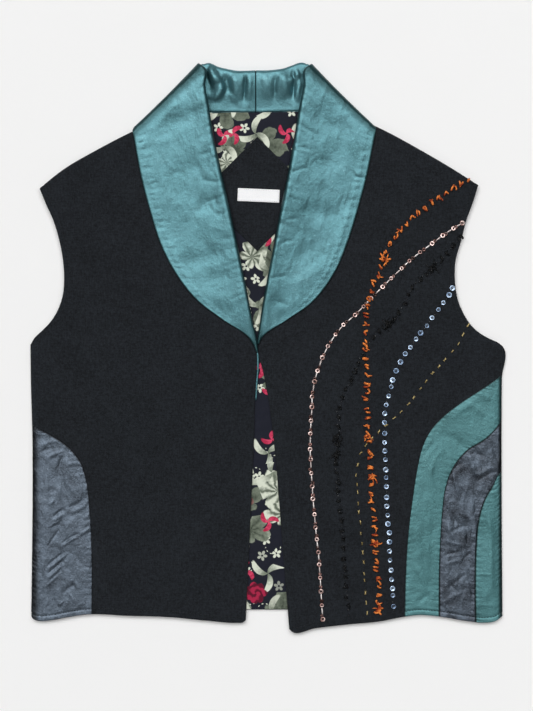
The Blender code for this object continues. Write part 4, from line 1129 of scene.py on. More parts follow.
# The halves all but meet at the centre back
centreBackX = {"right": -11.6 - 0.01, "left": -11.6 + 0.01}
rightStand = {
    "seamX": (-77.0, -70.0, -57.0, -42.0, -26.0, centreBackX["right"]),
    "seamY": (247.2, 247.6, 247.7, 247.6, 247.3, 247.1),
    "rollX": (-68.6, -60.5, -52.4, -44.4, -33.0, centreBackX["right"]),
    "rollY": (297.4, 298.8, 295.2, 293.0, 290.8, 290.9),
    "edgeX": (-125.0, -114.0, -95.0, -70.0, -41.0, centreBackX["right"]),
    "edgeY": (227.3, 225.4, 222.9, 220.8, 219.4, 218.7),
    "standZ": (5.4, 6.2, 7.2, 8.2, 8.8, 9.0),
}
leftStand = {
    "seamX": (52.0, 45.5, 33.0, 18.5, 3.0, centreBackX["left"]),
    "seamY": (249.6, 249.6, 248.6, 248.0, 247.5, 247.1),
    "rollX": (43.8, 35.4, 26.6, 17.4, 4.0, centreBackX["left"]),
    "rollY": (297.4, 299.2, 296.2, 293.0, 291.2, 290.9),
    "edgeX": (101.0, 90.0, 71.0, 46.0, 17.0, centreBackX["left"]),
    "edgeY": (228.0, 226.4, 223.4, 221.0, 219.5, 218.7),
    "standZ": (5.4, 6.2, 7.2, 8.2, 8.8, 9.0),
}
collar = {
    "foldAngles": np.linspace(0.0, 180.0, 13), "standFoldRadius": {"seam": 2.0, "roll": 3.0},
    "fallFoldRadius": {"roll": 7.4, "edge": 4.15}, "standFoldZ": {"seam": 6.0, "roll": 8.3},
    "underHeight": layers["collar"] / 2, "standSeamZ": 4.0, "step": 1.7,
    "standColumns": 22, "rollColumns": 11, "fallColumns": 48,
    "creaseShare": 0.62, "reliefShade": 0.6, "edgeShadeWidth": 3.0,
    "ridge": {"height": 0.36, "fromEdge": 9.0, "width": 2.4},
    "edgePucker": {"gap": 8.5, "width": 1.5, "reach": 3.6, "depth": 0.55},
    "rollPucker": {"gap": 10.5, "width": 1.8, "reach": 6.0, "depth": 0.6},
    "edgePuckerFrom": 8.0, "rollPuckerFrom": 3.5, "rollSlant": 0.35,
    "puckeredFromBreak": (20.0, 130.0), "foldShade": (-4.0, 10.0), "foldDark": 0.1,
    "rollShade": (0.5, 7.0), "rollDark": 0.2,
}
standShares = np.concatenate([rimShares[:-1] * 0.02, np.linspace(0.02, 1.0, collar["standColumns"])])
fallShares = np.concatenate([np.linspace(0.0, 0.988, collar["fallColumns"]),
                             1 - 0.012 * rimShares[::-1][1:]])

# Soft ridges of the stand, from (x, y) to (x, y), with a half width and height, as in the solid
standRidges = (
    ((-53, 291), (-57, 260), 8, 3.2), ((-30, 288), (-24, 262), 7, 1.4), ((24, 290), (12, 264), 9, 2.6),
    ((2, 288), (1, 262), 6, 1.2),
)
# The same columns as the cloth's creases, on the stand and on the fall
standCreases = (
    (210, 66, 222, 84, -3, 3.6, 3.6), (222, 82, 211, 101, 3, 3.4, 3.2),
    (207, 71, 213, 94, -2, 4.6, -4.6), (224, 74, 228, 98, 2, 4.6, -2.2),
    (234, 73, 238, 101, -1, 4.4, 1.6), (245, 73, 243, 103, 1, 2, -2.2),
    (250, 74, 249, 102, 0, 2.6, 1.3), (226, 92, 238, 104, 1, 2.8, 1), (263, 73, 267, 100, 1, 4.4, 1.3),
    (276, 74, 275, 100, -1, 3, -2), (283, 72, 285, 100, 1, 4, 1.6), (293, 69, 292, 102, 2, 3, -3.6),
    (298, 70, 288, 84, 2, 3, 3), (299, 78, 297, 102, -1, 3, 1.8),
)
rightFallCreases = (
    (146, 132, 200, 88, 4, 8, 1.5), (206, 108, 160, 126, 2, 8, -1.7), (206, 96, 188, 112, 1, 4, 0.6),
    (188, 216, 224, 198, 2, 8, -1.6), (176, 262, 228, 250, -3, 9, -1.5),
    (158, 190, 214, 236, 5, 12, 1.1), (176, 286, 244, 300, -4, 8, 1), (168, 176, 210, 166, 3, 9, -1.1),
    (200, 282, 240, 276, 3, 7, -0.9), (206, 130, 196, 142, 1, 1.8, -0.6),
    (213, 150, 198, 156, 1.5, 2, -0.7), (219, 182, 200, 178, 1.5, 1.7, -0.8),
    (224, 198, 204, 204, -1.5, 1.8, -0.7), (229, 212, 214, 214, 1, 1.5, -0.6),
    (234, 236, 218, 240, 1, 1.8, -0.5), (239, 262, 222, 266, 1, 1.6, -0.6),
    (246, 292, 228, 300, 1, 1.8, -0.5), (213, 112, 196, 120, 1, 2.2, 0.5),
    (150, 186, 162, 182, 1, 1.6, -0.4), (152, 146, 176, 138, 1, 5, 0.8), (230, 230, 206, 226, 1, 4, 0.5),
)
leftFallCreases = (
    (368, 134, 310, 82, -4, 8, 1.5), (308, 106, 350, 136, -3, 8, -1.6), (306, 94, 322, 112, 2, 4, 0.6),
    (353, 177, 371, 181, 1, 1.3, -0.7), (300, 126, 318, 138, 1, 2, -0.7),
    (296, 148, 314, 152, 1, 1.6, -0.7), (291, 174, 310, 168, 1.5, 1.8, -0.8),
    (288, 196, 304, 202, -1, 1.7, -0.7), (283, 222, 300, 218, 1, 1.6, -0.6),
    (277, 246, 296, 240, 1.5, 1.8, -0.7), (268, 280, 288, 276, 1, 1.6, -0.6),
    (300, 204, 346, 216, -4, 9, -1.4), (322, 236, 286, 262, 4, 9, -1.3),
    (346, 168, 304, 186, 3, 11, 1.2), (334, 262, 284, 298, -4, 8, 1.2), (304, 296, 274, 312, 2, 6, 0.8),
    (350, 204, 330, 254, 3, 8, 1), (318, 150, 330, 196, 3, 7, -0.9), (272, 300, 292, 308, 1, 3, -0.7),
    (344, 112, 362, 150, 2, 5, 0.8),
)


# Half round in the upright plane of a bulge: centre + R sin(a) bulge, z = middle - R cos(a)
def halfRound(centre, bulge, lower, upper, count):
    angle = np.linspace(0.0, math.pi, count + 2)[1:-1, None]
    radius = (upper - lower) / 2
    across = np.sin(angle) * radius * np.array([*bulge, 0.0])
    up = np.array([0.0, 0.0, 1.0]) * ((upper + lower) / 2 - radius * np.cos(angle))
    return np.array([*centre, 0.0]) + across + up


# Section over the front: return, half round roll, and a fall whose height over the front
# is extra (1 - share) ^ power
def lapelSection(row):
    seam, roll, edge, low, high = row[0:2], row[2:4], row[4:6], row[6], row[7]
    out = unit(edge - roll)
    centre = roll + out * ((high - low) / 2 + layers["collar"] / 2)
    under = seam + (centre - seam) * standShares[:, None]
    seamZ = layers["return"] + liftAt(seam[1])
    underZ = seamZ + (max(low, seamZ) - seamZ) * standShares
    fall = centre + (edge - centre) * fallShares[:, None]
    extra = high - layers["fall"] - liftAt(centre[1])
    hidden = min(0.75, np.dot(seam - centre, out) / np.linalg.norm(edge - centre))
    power = min(2.0, math.log(min(1.0, 1.0 / extra)) / math.log(1.0 - max(hidden, 0.05)))
    fallZ = layers["fall"] + liftAt(fall[:, 1]) + extra * (1 - fallShares) ** power
    return np.vstack([np.column_stack([under, underZ]),
                      halfRound(centre, -out, max(low, seamZ), high, collar["rollColumns"]),
                      np.column_stack([fall, fallZ])])


# Section turned by an angle about the shoulder fold: a point of its axis plus radius times
# (sin(angle) sideways, cos(angle) up), the stand and the fall each about their own axis
def foldSection(points, angle):
    seam, roll, edge = (np.array(points[key]) for key in ("seam", "roll", "edge"))
    edge = edge + unit(roll - edge) * edgeAdvance * angle / 180
    upStand, downFall = unit(roll - seam), unit(edge - roll)
    outward = np.sign(edge[0] - roll[0])
    standNormal = np.array([-upStand[1], upStand[0]])
    standNormal = standNormal * np.sign(standNormal[0]) * outward
    fallNormal = np.array([-downFall[1], downFall[0]])
    fallNormal = fallNormal * np.sign(fallNormal[1])
    turn = math.radians(angle)

    # Points of the axis plus radius times (sin(angle) normal, cos(angle) up)
    def placed(plan, z, normal, radius):
        sideways = np.sin(turn) * radius[:, None] * normal
        return np.column_stack([plan + sideways, z + radius * math.cos(turn)])

    stand, fold = collar["standFoldRadius"], collar["fallFoldRadius"]
    base = collar["standFoldZ"]
    s = standShares
    first = placed(seam + (roll - seam) * s[:, None], base["seam"] * (1 - s) + base["roll"] * s,
                   standNormal, stand["seam"] * (1 - s) + stand["roll"] * s)
    swing = np.linspace(0.0, math.pi, collar["rollColumns"] + 2)[1:-1]
    low, high = stand["roll"], fold["roll"]
    share = (swing / math.pi)[:, None]
    bulge = unit(upStand - downFall)
    second = placed(roll + bulge * (high - low) / 2 * np.sin(swing)[:, None], base["roll"],
                    unit(standNormal * (1 - share) + fallNormal * share),
                    (low + high) / 2 - (high - low) / 2 * np.cos(swing))
    radius = fold["edge"] + (fold["roll"] - fold["edge"]) * (1 - fallShares) ** 2
    third = placed(roll + (edge - roll) * fallShares[:, None], collar["underHeight"] + radius,
                   fallNormal, radius)
    return np.vstack([first, second, third])


# Section behind the neck: the stand eased up from its seam, a half round over the top,
# the fall flat on the table
def standSection(row):
    seam, roll, edge, high = row[0:2], row[2:4], row[4:6], row[6]
    up = unit(roll - seam)
    under = collar["underHeight"]
    centre = roll - up * ((high - under) / 2 + layers["collar"] / 2)
    stand = seam + (centre - seam) * standShares[:, None]
    standZ = collar["standSeamZ"] + (high - collar["standSeamZ"]) * easeStep(standShares, 0.0, 1.0)
    fall = centre + (edge - centre) * fallShares[:, None]
    return np.vstack([np.column_stack([stand, standZ]),
                      halfRound(centre, up, under, high, collar["rollColumns"])[::-1],
                      np.column_stack([fall, np.full(len(fall), under)])])


# Rounds the plan at a corner: within the sector between the two edges' normals, each
# point's distance from the rounding circle's centre is scaled by the greater of the
# cosines between its direction and either normal
def roundedPlan(points, corner, first, second, radius):
    corner = np.array(corner)
    one, two = unit(np.array(first) - corner), unit(np.array(second) - corner)
    inward = unit(one + two)
    sine = abs(one[0] * inward[1] - one[1] * inward[0])
    centre = corner + inward * radius / sine
    normals = [way * (way @ inward) - inward for way in (one, two)]
    normals = [unit(normal) for normal in normals]
    away = points[..., :2] - centre
    way = unit(away)
    share = np.maximum(way @ normals[0], way @ normals[1])
    inSector = way @ -inward > normals[0] @ -inward
    moved = points.copy()
    moved[..., :2] = centre + away * np.where(inSector, share, 1.0)[..., None]
    return moved


# Sum of the stand's ridges: height exp(-(distance / width)^2) sin(pi (0.15 + 0.85 along))
def ridgeHeight(points):
    total = np.zeros(points.shape[:-1])
    for start, end, width, height in standRidges:
        start, way = np.array(start), np.array(end) - np.array(start)
        along = np.clip(((points[..., :2] - start) @ way) / (way @ way), 0.0, 1.0)
        nearest = start + along[..., None] * way
        distance = np.linalg.norm(points[..., :2] - nearest, axis=-1) / width
        total += height * np.exp(-distance**2) * np.sin(math.pi * (0.15 + 0.85 * along))
    return total


# Unit normals of a grid: the cross product of the mean directions to each point's neighbours
def gridNormals(grid):
    ways = []
    for axis in (0, 1):
        step = unit(np.diff(grid, axis=axis))
        first, last = np.take(step, [0], axis=axis), np.take(step, [-1], axis=axis)
        ways.append(np.concatenate([first, step], axis=axis)
                    + np.concatenate([step, last], axis=axis))
    return unit(np.cross(ways[0], ways[1]))


# Named columns of a table as rows
def tableRows(table, *names):
    return np.column_stack([table[name] for name in names])


# Normals of a collar half that point out of its upper side: level with the table's X at the
# centre back, and turned over where the fall's front part would face down
def collarNormals(grid):
    normal = gridNormals(grid)
    normal[-1, :, 0] = 0.0
    normal = unit(normal)
    return normal * (-1 if normal[:len(grid) // 3, -20:, 2].mean() < 0 else 1)


# Half a shawl collar: its sections joined by a smooth curve along each column, then
# creases, puckers at the edge and roll, and a ridge along the edge's seam pushed along the
# normals. The rim attribute carries painted shade: it falls to 0 at the edge and the centre back, in
# front also at the fold and the roll where the leather turns away. The relief attribute darkens troughs
# and puckers as painted shade
def makeCollar(name, node, lapel, fold, stand, fallCreases, corners):
    plan = ("seamX", "seamY", "rollX", "rollY", "edgeX", "edgeY")
    sections = [lapelSection(row) for row in tableRows(lapel, *plan, "returnZ", "fallZ")]
    firstFold = len(sections)
    sections += [foldSection(fold, angle) for angle in collar["foldAngles"]]
    firstStand = len(sections)
    sections += [standSection(row) for row in tableRows(stand, *plan, "standZ")]
    grid = np.array(sections)
    standing = grid[firstStand:, :len(standShares)]
    standing[..., 2] += ridgeHeight(standing) * np.sin(math.pi * standShares) ** 0.5
    places = rowPlaces((grid[:, 0], grid[:, -1], grid[:, len(standShares)]), collar["step"],
                       rimShares * layers["collar"] / 2)
    grid = curveAt(grid, places)
    for corner in corners:
        grid = roundedPlan(grid, *corner)
    normal = collarNormals(grid)

    rollMiddle = len(standShares) + collar["rollColumns"] / 2
    onFall = easeStep(np.arange(grid.shape[1])[None, :], rollMiddle - 3.0, rollMiddle + 4.0)
    foldWay = unit(np.array(fold["edge"]) - np.array(fold["roll"]))
    away = grid[..., :2] - np.array(fold["roll"])
    fromFold = (away[..., 0] * foldWay[1] - away[..., 1] * foldWay[0]) * np.sign(foldWay[0])
    inFront = (places <= firstFold + 6)[:, None]
    onLapel = easeStep(fromFold, 0.0, 12.0) * (places <= firstFold)[:, None]
    onStand = easeStep(places, firstStand - 3.5, firstStand)[:, None] * (1 - onFall)
    fromSeam, fromBreak = runningLength(grid, 1), runningLength(grid)
    fromEdge, fromBack = fromSeam[:, -1:] - fromSeam, fromBreak[-1:] - fromBreak
    roll = slice(int(rollMiddle), int(rollMiddle) + 1)
    fromRoll = fromSeam - fromSeam[:, roll]
    edgeRun = np.broadcast_to(fromBreak[:, -1:], fromEdge.shape)
    rollRun = np.broadcast_to(fromBreak[:, roll], fromEdge.shape)

    facing = np.sign(normal[places > firstStand][:, :10, 2].mean())
    relief = creaseHeight(grid, fallCreases) * onFall * onLapel * collar["creaseShare"]
    relief = relief + creaseHeight(grid, standCreases) * onStand * facing
    edgePucker = puckers(edgeRun, np.abs(fromEdge - collar["edgePuckerFrom"]),
                         **collar["edgePucker"])
    rollPucker = puckers(rollRun + fromRoll * collar["rollSlant"],
                         np.abs(fromRoll - collar["rollPuckerFrom"]), **collar["rollPucker"])
    seam = collar["ridge"]
    ridge = seam["height"] * np.exp(-((fromEdge - seam["fromEdge"]) / seam["width"])**2)
    small = edgePucker + ridge + rollPucker * onFall
    small = small * easeStep(fromBreak, *collar["puckeredFromBreak"]) * onLapel
    grid = grid + normal * (relief + small)[..., None]

    # Painted shade: darker over the shoulder fold's turn and beside the roll, and at the outer edge and
    # centre back
    foldDark, rollDark = collar["foldDark"], collar["rollDark"]
    shade = foldDark + (1 - foldDark) * easeStep(fromFold, *collar["foldShade"])
    shade = shade * (rollDark + (1 - rollDark) * easeStep(np.abs(fromRoll), *collar["rollShade"]))
    rim = easeStep(np.minimum(fromEdge, fromBack * 2.5), 0.0, collar["edgeShadeWidth"])
    border = np.min([fromSeam, fromEdge, fromBreak, fromBack], axis=0)
    piece = shellPiece(name, grid, collarNormals(grid), layers["collar"], border,
                       finishes["teal"], "teal_leather",
                       values={"rim": rim * np.where(inFront, shade, 1.0),
                               "relief": relief * collar["reliefShade"] + small})
    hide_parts(node)
    width = fromSeam[:, -1].mean()
    one, two = grid[1:, 1:] - grid[:-1, :-1], grid[1:, :-1] - grid[:-1, 1:]
    area = np.linalg.norm(np.cross(one, two), axis=-1).sum() / 2
    return piece, (width * mm, area / width * mm)


collarRight, collarRightCut = makeCollar(
    "collarRight", "collar_right", rightLapel, shoulderFold["right"], rightStand,
    rightFallCreases, collarCorners["right"])
collarLeft, collarLeftCut = makeCollar(
    "collarLeft", "collar_left", leftLapel, shoulderFold["left"], leftStand,
    leftFallCreases, collarCorners["left"])
print("Collar made")


neckPieces = {
    "patchX": -9.9, "patchY": 161.0, "patchHalfDiagonal": 60.0, "patchStep": 1.5, "patchStitch": 4.0,
    "labelX": -8.6, "labelY": 159.4, "labelHalfWidth": 22.0, "labelHalfHeight": 6.8,
    "labelTilt": -2.5, "labelStep": 0.7, "waveHeight": 0.25, "waveAcross": 9.0, "waveUp": 11.0,
    "wavyFromEdge": (1.0, 8.0), "wavySize": 20.0, "patchStitchSink": 0.15, "labelStitchIn": 1.2,
}


# Points of a flat piece placed and turned on the table: its own across and up turned by an
# angle in degrees, plus where its middle lies
def turnedPlan(x, y, across, up, degrees):
    turn = math.radians(degrees)
    return np.stack([x + across * math.cos(turn) - up * math.sin(turn),
                     y + across * math.sin(turn) + up * math.cos(turn)], axis=-1)


# A flat rectangle of cloth turned in plan, following the lift under it, with a soft wave
# sin(across) sin(up) that fades towards its edges
def makeFlatCloth(name, node, x, y, halfWidth, halfHeight, turn, height, step, finish, slot,
                  grooveAt=None):
    half = layers["patch"] / 2
    spread = [np.concatenate([-size + rimShares * half,
                              np.linspace(-size + half, size - half, int(2 * size / step))[1:-1],
                              size - half * rimShares[::-1]]) for size in (halfWidth, halfHeight)]
    across, up = np.meshgrid(*spread)
    place = turnedPlan(x, y, across, up, turn)
    middle = np.dstack([place, height + liftAt(place[..., 1])])
    border = np.minimum(halfWidth - np.abs(across), halfHeight - np.abs(up))
    groove = 0.0 if grooveAt is None else stitchGroove(border, grooveAt)
    neck = neckPieces
    soft = neck["waveHeight"] * np.sin(across / neck["waveAcross"] + 0.6)
    soft = soft * np.sin(up / neck["waveUp"]) * easeStep(border, *neck["wavyFromEdge"])
    middle[..., 2] += soft * min(1.0, halfHeight / neck["wavySize"])
    normal = np.broadcast_to((0.0, 0.0, 1.0), middle.shape)
    piece = shellPiece(name, middle, normal, layers["patch"], border, finish, slot, groove)
    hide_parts(node)
    return piece


halfSide = neckPieces["patchHalfDiagonal"] / math.sqrt(2)
patchPiece = makeFlatCloth("neckPatch", "neck_patch", neckPieces["patchX"], neckPieces["patchY"],
                           halfSide, halfSide, 45.0, layers["patched"], neckPieces["patchStep"],
                           finishes["cloth"], "black_cloth", neckPieces["patchStitch"])
labelPiece = makeFlatCloth("wovenLabel", "woven_label", neckPieces["labelX"],
                           neckPieces["labelY"], neckPieces["labelHalfWidth"],
                           neckPieces["labelHalfHeight"], neckPieces["labelTilt"],
                           layers["labelled"], neckPieces["labelStep"], finishes["label"],
                           "white_label")
print("Patch and label made")


# Tubes along many paths at once: each ring lies in the plane of the path's side vector and
# of that vector's cross product with the path's direction, and both ends are closed
def tubePoints(paths, radii, side, sides):
    ways = unit(np.gradient(paths, axis=1))
    side = np.broadcast_to(side, paths.shape)
    side = unit(side - ways * (side * ways).sum(axis=-1, keepdims=True))
    other = np.cross(ways, side)
    angle = np.arange(sides) * 2 * math.pi / sides
    ring = (side[..., None, :] * np.cos(angle)[:, None] + other[..., None, :] * np.sin(angle)[:, None])
    points = paths[..., None, :] + ring * radii[..., None, None]
    count, length = paths.shape[:2]
    index = np.arange(length * sides).reshape(length, sides)
    following = np.roll(index, -1, axis=1)
    quads = np.stack([index[:-1], following[:-1], following[1:], index[1:]], axis=-1).reshape(-1, 4)
    faces = quads.tolist() + [index[0, ::-1].tolist(), index[-1].tolist()]
    return points.reshape(count, -1, 3), faces


# A closed profile of (radius, height) turned round the upright axis
def turnedShape(profile, sides):
    radius, height = np.array(profile, float).T
    angle = np.arange(sides) * 2 * math.pi / sides
    points = np.stack([radius[:, None] * np.cos(angle), radius[:, None] * np.sin(angle),
                       np.broadcast_to(height[:, None], (len(radius), sides))], axis=-1)
    index = np.arange(len(radius) * sides).reshape(len(radius), sides)
    down = np.roll(index, -1, axis=0)
    quads = np.stack([index, np.roll(index, -1, axis=1), np.roll(down, -1, axis=1), down], axis=-1)
    return points.reshape(-1, 3), quads.reshape(-1, 4).tolist()


# A bead: a globe of rings with small flat ends
def beadShape(radius, height, sides, rings):
    angle = np.linspace(-math.pi / 2, math.pi / 2, rings + 2)[1:-1]
    path = np.zeros((1, rings, 3))
    path[0, :, 2] = height / 2 * np.sin(angle) / np.sin(angle[-1])
    points, faces = tubePoints(path, radius * np.cos(angle)[None], np.array([1.0, 0.0, 0.0]), sides)
    return points[0], faces


# Copies of one shape, each scaled, turned about the upright axis and tilted a little:
# place + Rz (scale * point)
def scattered(shape, places, turns, scales, tilts=None):
    points, faces = shape
    turns, scales = np.broadcast_to(turns, len(places)), np.broadcast_to(scales, len(places))
    cos, sin = np.cos(turns), np.sin(turns)
    x, y, z = (points[None, :, k] * scales[:, None] for k in range(3))
    if tilts is not None:
        z = z + x * tilts[:, :1] + y * tilts[:, 1:]
    made = np.stack([x * cos[:, None] - y * sin[:, None], x * sin[:, None] + y * cos[:, None], z],
                    axis=-1) + places[:, None]
    return made, faces


# Joins arrays of like copies into one piece
def joinedPiece(name, groups, finish, slot, values=None):
    points, faces, offset = [], [], 0
    for made, shapeFaces in groups:
        count, size = made.shape[:2]
        points.append(made.reshape(-1, 3))
        faces += [[corner + offset + copy * size for corner in face]
                  for copy in range(count) for face in shapeFaces]
        offset += count * size
    return meshPiece(name, np.concatenate(points), faces, finish, slot, values)


# "bury" is how far a row lies under the cloth's own top, in the groove
stitches = {"length": 2.7, "pitch": 3.7, "radius": 0.24, "sides": 5, "sink": 0.05, "bury": 0.3,
            "uneven": 0.12, "leather": (0.3, 2.1, 3.0), "label": (0.16, 1.6, 2.3)}


# Stitches along a line of points in space: each a short tube z = arch (1 - t^2), sunk at
# both ends
def stitchRow(line, radius=None, length=None, pitch=None):
    steps = runningLength(line)
    pitch, length = pitch or stitches["pitch"], length or stitches["length"]
    radius, uneven = radius or stitches["radius"], stitches["uneven"]
    middles = np.arange(pitch / 2, steps[-1], pitch)
    middles = middles + rng.uniform(-uneven, uneven, len(middles)) * pitch
    t = np.linspace(-1.0, 1.0, 5)
    at = middles[:, None] + t * length / 2
    paths = readAlong(at, steps, line)
    paths[..., 2] += radius * 1.5 * (1 - t**2) - stitches["sink"]
    radii = np.broadcast_to(radius * (1 - 0.55 * t**4), at.shape)
    side = np.cross(unit(paths[:, -1] - paths[:, 0]), [0.0, 0.0, 1.0])[:, None]
    return tubePoints(paths, radii, side, stitches["sides"])


# A line along a piece's upper side at a distance from its hem: between two rows of its flat
# grid, by each column's share, without some columns at either end
def hemLine(flat, distance, half, side, inset):
    total = runningLength(flat)
    row = np.argmax(total[:, flat.shape[1] // 2] > distance)
    share = ((distance - total[row - 1]) / (total[row] - total[row - 1]))[:, None]
    line = flat[row - 1] * (1 - share) + flat[row] * share
    line = line[inset:-inset]
    z = layers["front"] + half + liftAt(line[:, 1]) - stitches["bury"]
    if side:
        z = z + creaseHeight(line, clothCreases[side])
    return np.column_stack([line, z])


# A line at a distance from a front's outer edge, above the armhole's lowest point
def armholeLine(flat, distance, side):
    total = runningLength(flat, 1)
    line = np.stack([readAlong(distance, total[row], flat[row]) for row in range(len(flat))])
    line = line[line[:, 1] > sum(frontPieces["armholeY"]) / 2][:-len(turnShares) - 2]
    return np.column_stack([line, frontTop(line, side) - stitches["bury"]])


# Stitches along the hems and armholes of the fronts, and the hems of the side pieces
def makeTopstitch():
    half = layers["cloth"] / 2
    fronts = ((rightFlat, "right"), (leftFlat, "left"))
    cloth = [stitchRow(hemLine(flat, frontPieces["stitchFromHem"], half, side, 4))
             for flat, side in fronts]
    cloth += [stitchRow(armholeLine(flat, frontPieces["stitchFromArmhole"], side))
              for flat, side in fronts]
    made = [joinedPiece("clothTopstitch", cloth, finishes["blackThread"], "black_cloth")]
    half = layers["leather"] / 2
    names = ("sideStitchRight", "bandStitchOuter", "bandStitchMiddle", "bandStitchInner")
    for name, (piece, flat) in zip(names, sidePieces):
        line = hemLine(flat, sidePanels["hemStitch"], half, None, 3)
        made.append(joinedPiece(name, [stitchRow(line, *stitches["leather"])],
                                finishes["darkThread"], piece["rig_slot"]))
    return made


# The outline of a turned rectangle, in points about a millimetre apart
def squareLine(x, y, half, turn, height):
    corners = np.array([(-1, -1), (1, -1), (1, 1), (-1, 1), (-1, -1)], float) * half
    plan = readAlong(np.linspace(0.0, 4.0, int(8 * max(half))), range(5), corners)
    spot = turnedPlan(x, y, plan[:, 0], plan[:, 1], turn)
    return np.column_stack([spot, height + liftAt(spot[:, 1])])


topstitch = makeTopstitch()
neck = neckPieces
patchStitch = joinedPiece("patchStitch", [stitchRow(squareLine(
    neck["patchX"], neck["patchY"], np.array([halfSide - neck["patchStitch"]] * 2), 45.0,
    layers["patched"] + layers["patch"] / 2 - neck["patchStitchSink"]))],
    finishes["blackThread"], "black_cloth")
half = np.array([neck["labelHalfWidth"], neck["labelHalfHeight"]]) - neck["labelStitchIn"]
labelStitch = joinedPiece("labelStitch", [stitchRow(squareLine(
    neck["labelX"], neck["labelY"], half, neck["labelTilt"],
    layers["labelled"] + layers["patch"] / 2), *stitches["label"])],
    finishes["whiteThread"], "white_label")
print("Stitching made")


piping = {"px": (257.3, 257.9, 257.7, 257.0, 256.4, 255.8),
          "py": (350.0, 360.0, 371.0, 381.0, 391.0, 401.0), "radius": 1.1, "length": 53.0,
          "points": 40, "taper": 20.0, "sides": 14}


# The narrow rolled leather edge on the right front: a tube whose radius goes with the
# square root of the length from its nearer end
def makePiping():
    line = tablePlace(np.column_stack([piping["px"], piping["py"]]))
    count, taper = piping["points"], piping["taper"]
    plan = lineAt(line, np.linspace(0.0, piping["length"], count))[0]
    path = np.column_stack([plan, np.full(count, layers["front"])])[None]
    ends = np.minimum(np.linspace(0.0, taper, count), np.linspace(taper, 0.0, count))
    radii = piping["radius"] * np.sqrt(np.clip(ends, 0.02, 1.0))[None]
    tube = tubePoints(path, radii, np.array([1.0, 0.0, 0.0]), piping["sides"])
    piece = joinedPiece("frontPiping", [tube], finishes["teal"], "teal_leather",
                        {"rim": np.ones(tube[0].shape[1])})
    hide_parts("front_piping")
    return piece


pipingPiece = makePiping()


# Rows of trimming down the left front, as places in the photograph's frame
trimRows = {
    "orange": (
        (471, 179), (449, 190), (426, 207), (410, 220), (396, 236), (386, 251), (380, 269), (372, 288),
        (367, 306), (366, 327), (365, 350), (367, 374), (367, 400), (368, 434), (370, 458), (371, 485),
        (372, 504), (374, 522), (375, 546), (377, 571), (378, 594), (380, 619)),
    "rose": (
        (468, 219.5), (446, 233), (429, 246), (409, 261), (391, 279), (373, 296), (355, 315),
        (340, 329), (328, 346), (322, 359), (317, 373), (313, 389), (312, 408), (310.5, 432),
        (310.5, 462), (312.5, 490), (315, 520), (318, 550), (320.4, 579), (322, 608), (323.6, 625)),
    "black": (
        (462, 236), (450, 248), (433, 268), (413, 287), (400, 313), (387, 325), (375, 336), (358, 364),
        (351, 379), (343, 397), (339, 410), (338, 433), (336, 456), (337, 480), (339, 503), (342, 528),
        (343.5, 548), (346, 587), (349, 617)),
    "blue": (
        (454.5, 284), (445, 301), (439, 309), (426, 327), (414, 342), (402, 359), (394, 377),
        (389, 394), (385, 412), (384.7, 435), (385, 455), (386, 476), (387, 507), (388, 526),
        (390, 555), (392, 583), (393.6, 613)),
    "gold": (
        (469.5, 322.5), (458, 343), (444, 361), (427, 379.5), (410, 402), (394, 418), (379, 431),
        (365, 447), (359, 456), (357, 465), (356.5, 474), (358, 494), (359, 513), (361, 533),
        (362.5, 553), (364, 573), (365, 591), (367, 620)),
}
tuftSpots = (
    (386, 258), (368, 434), (372, 477), (375, 543), (379, 610),
)
knotSpots = (
    (433, 268), (387, 325), (338, 440), (336, 456),
)
trims = {
    "orangeStep": 8.9, "orangeLoops": 2, "orangeRadius": 1.02, "tuftLoops": 3,
    "roseStep": 13.8, "ringRadius": 1.80, "ringWall": 0.86, "bugleLength": 6.8, "bugleRadius": 0.74,
    "bugleAt": 0.40, "brownAt": 0.70, "brownRadius": 1.25, "brownWall": 0.72,
    "blackStep": 10.0, "blackLoops": 3, "knotLoops": 6, "blackRadius": 0.62,
    "blueStep": 9.6, "cupRadius": 2.7, "cupDepth": 0.85, "cupWall": 0.23, "cupHole": 0.16,
    "goldStep": 10.4, "goldLength": 4.4, "goldRadius": 0.42, "goldLean": 0.28,
    "orangeSize": 2.3, "blackSize": 2.2,
    "seed": (0.8, 1.3, 7, 4), "roseSeed": (0.55, 1.2, 7, 4), "blueSeed": (0.95, 1.5, 8, 5),
    "smallSeed": (0.8, 1.2, 7, 4),
}


# Uneven places along a row of trimming, on the cloth, with the row's direction there
def trimPlaces(row, step, shift=0.0, sway=0.6, raised=0.0):
    points = tablePlace(trimRows[row])
    total = denseLine(points)[1][-1]
    lengths = np.arange(step * 0.4 + shift, total - step * 0.2, step)
    lengths = lengths + rng.uniform(-0.13, 0.13, len(lengths)) * step
    plan, ways = lineAt(points, lengths)
    plan = plan + rng.normal(0.0, sway, plan.shape) * 0.5
    return (np.column_stack([plan, frontTop(plan, "left") + raised]),
            np.arctan2(ways[:, 1], ways[:, 0]))


# Loops of yarn: half rings that stand on the cloth, r (cos a, sin a) leaning to one side
def yarnLoops(places, turns, size, radius, spread):
    count = len(places)
    a = np.linspace(-0.25, 1.25, 11) * math.pi
    reach = size * rng.uniform(0.65, 1.2, (count, 1))
    lean = rng.uniform(-0.9, 0.9, (count, 1))
    x = reach * np.cos(a)
    height = reach * 0.62 * np.sin(a)
    y = lean * reach * 0.9 * (1 + np.sin(a)) / 2
    away = rng.normal(0.0, spread, (count, 2))
    turns = turns + rng.uniform(-0.8, 0.8, count)
    cos, sin = np.cos(turns)[:, None], np.sin(turns)[:, None]
    paths = np.stack([x * cos - y * sin + places[:, :1] + away[:, :1],
                      x * sin + y * cos + places[:, 1:2] + away[:, 1:],
                      np.maximum(height, 0.0) + places[:, 2:] + radius * 0.8], axis=-1)
    side = np.stack([-sin[:, 0], cos[:, 0], 0.3 + 0 * turns], axis=-1)[:, None]
    taper = 1 - 0.35 * np.abs(np.linspace(-1, 1, 11))**3
    return tubePoints(paths, radius * taper * rng.uniform(0.8, 1.15, (count, 1)), side, 6)


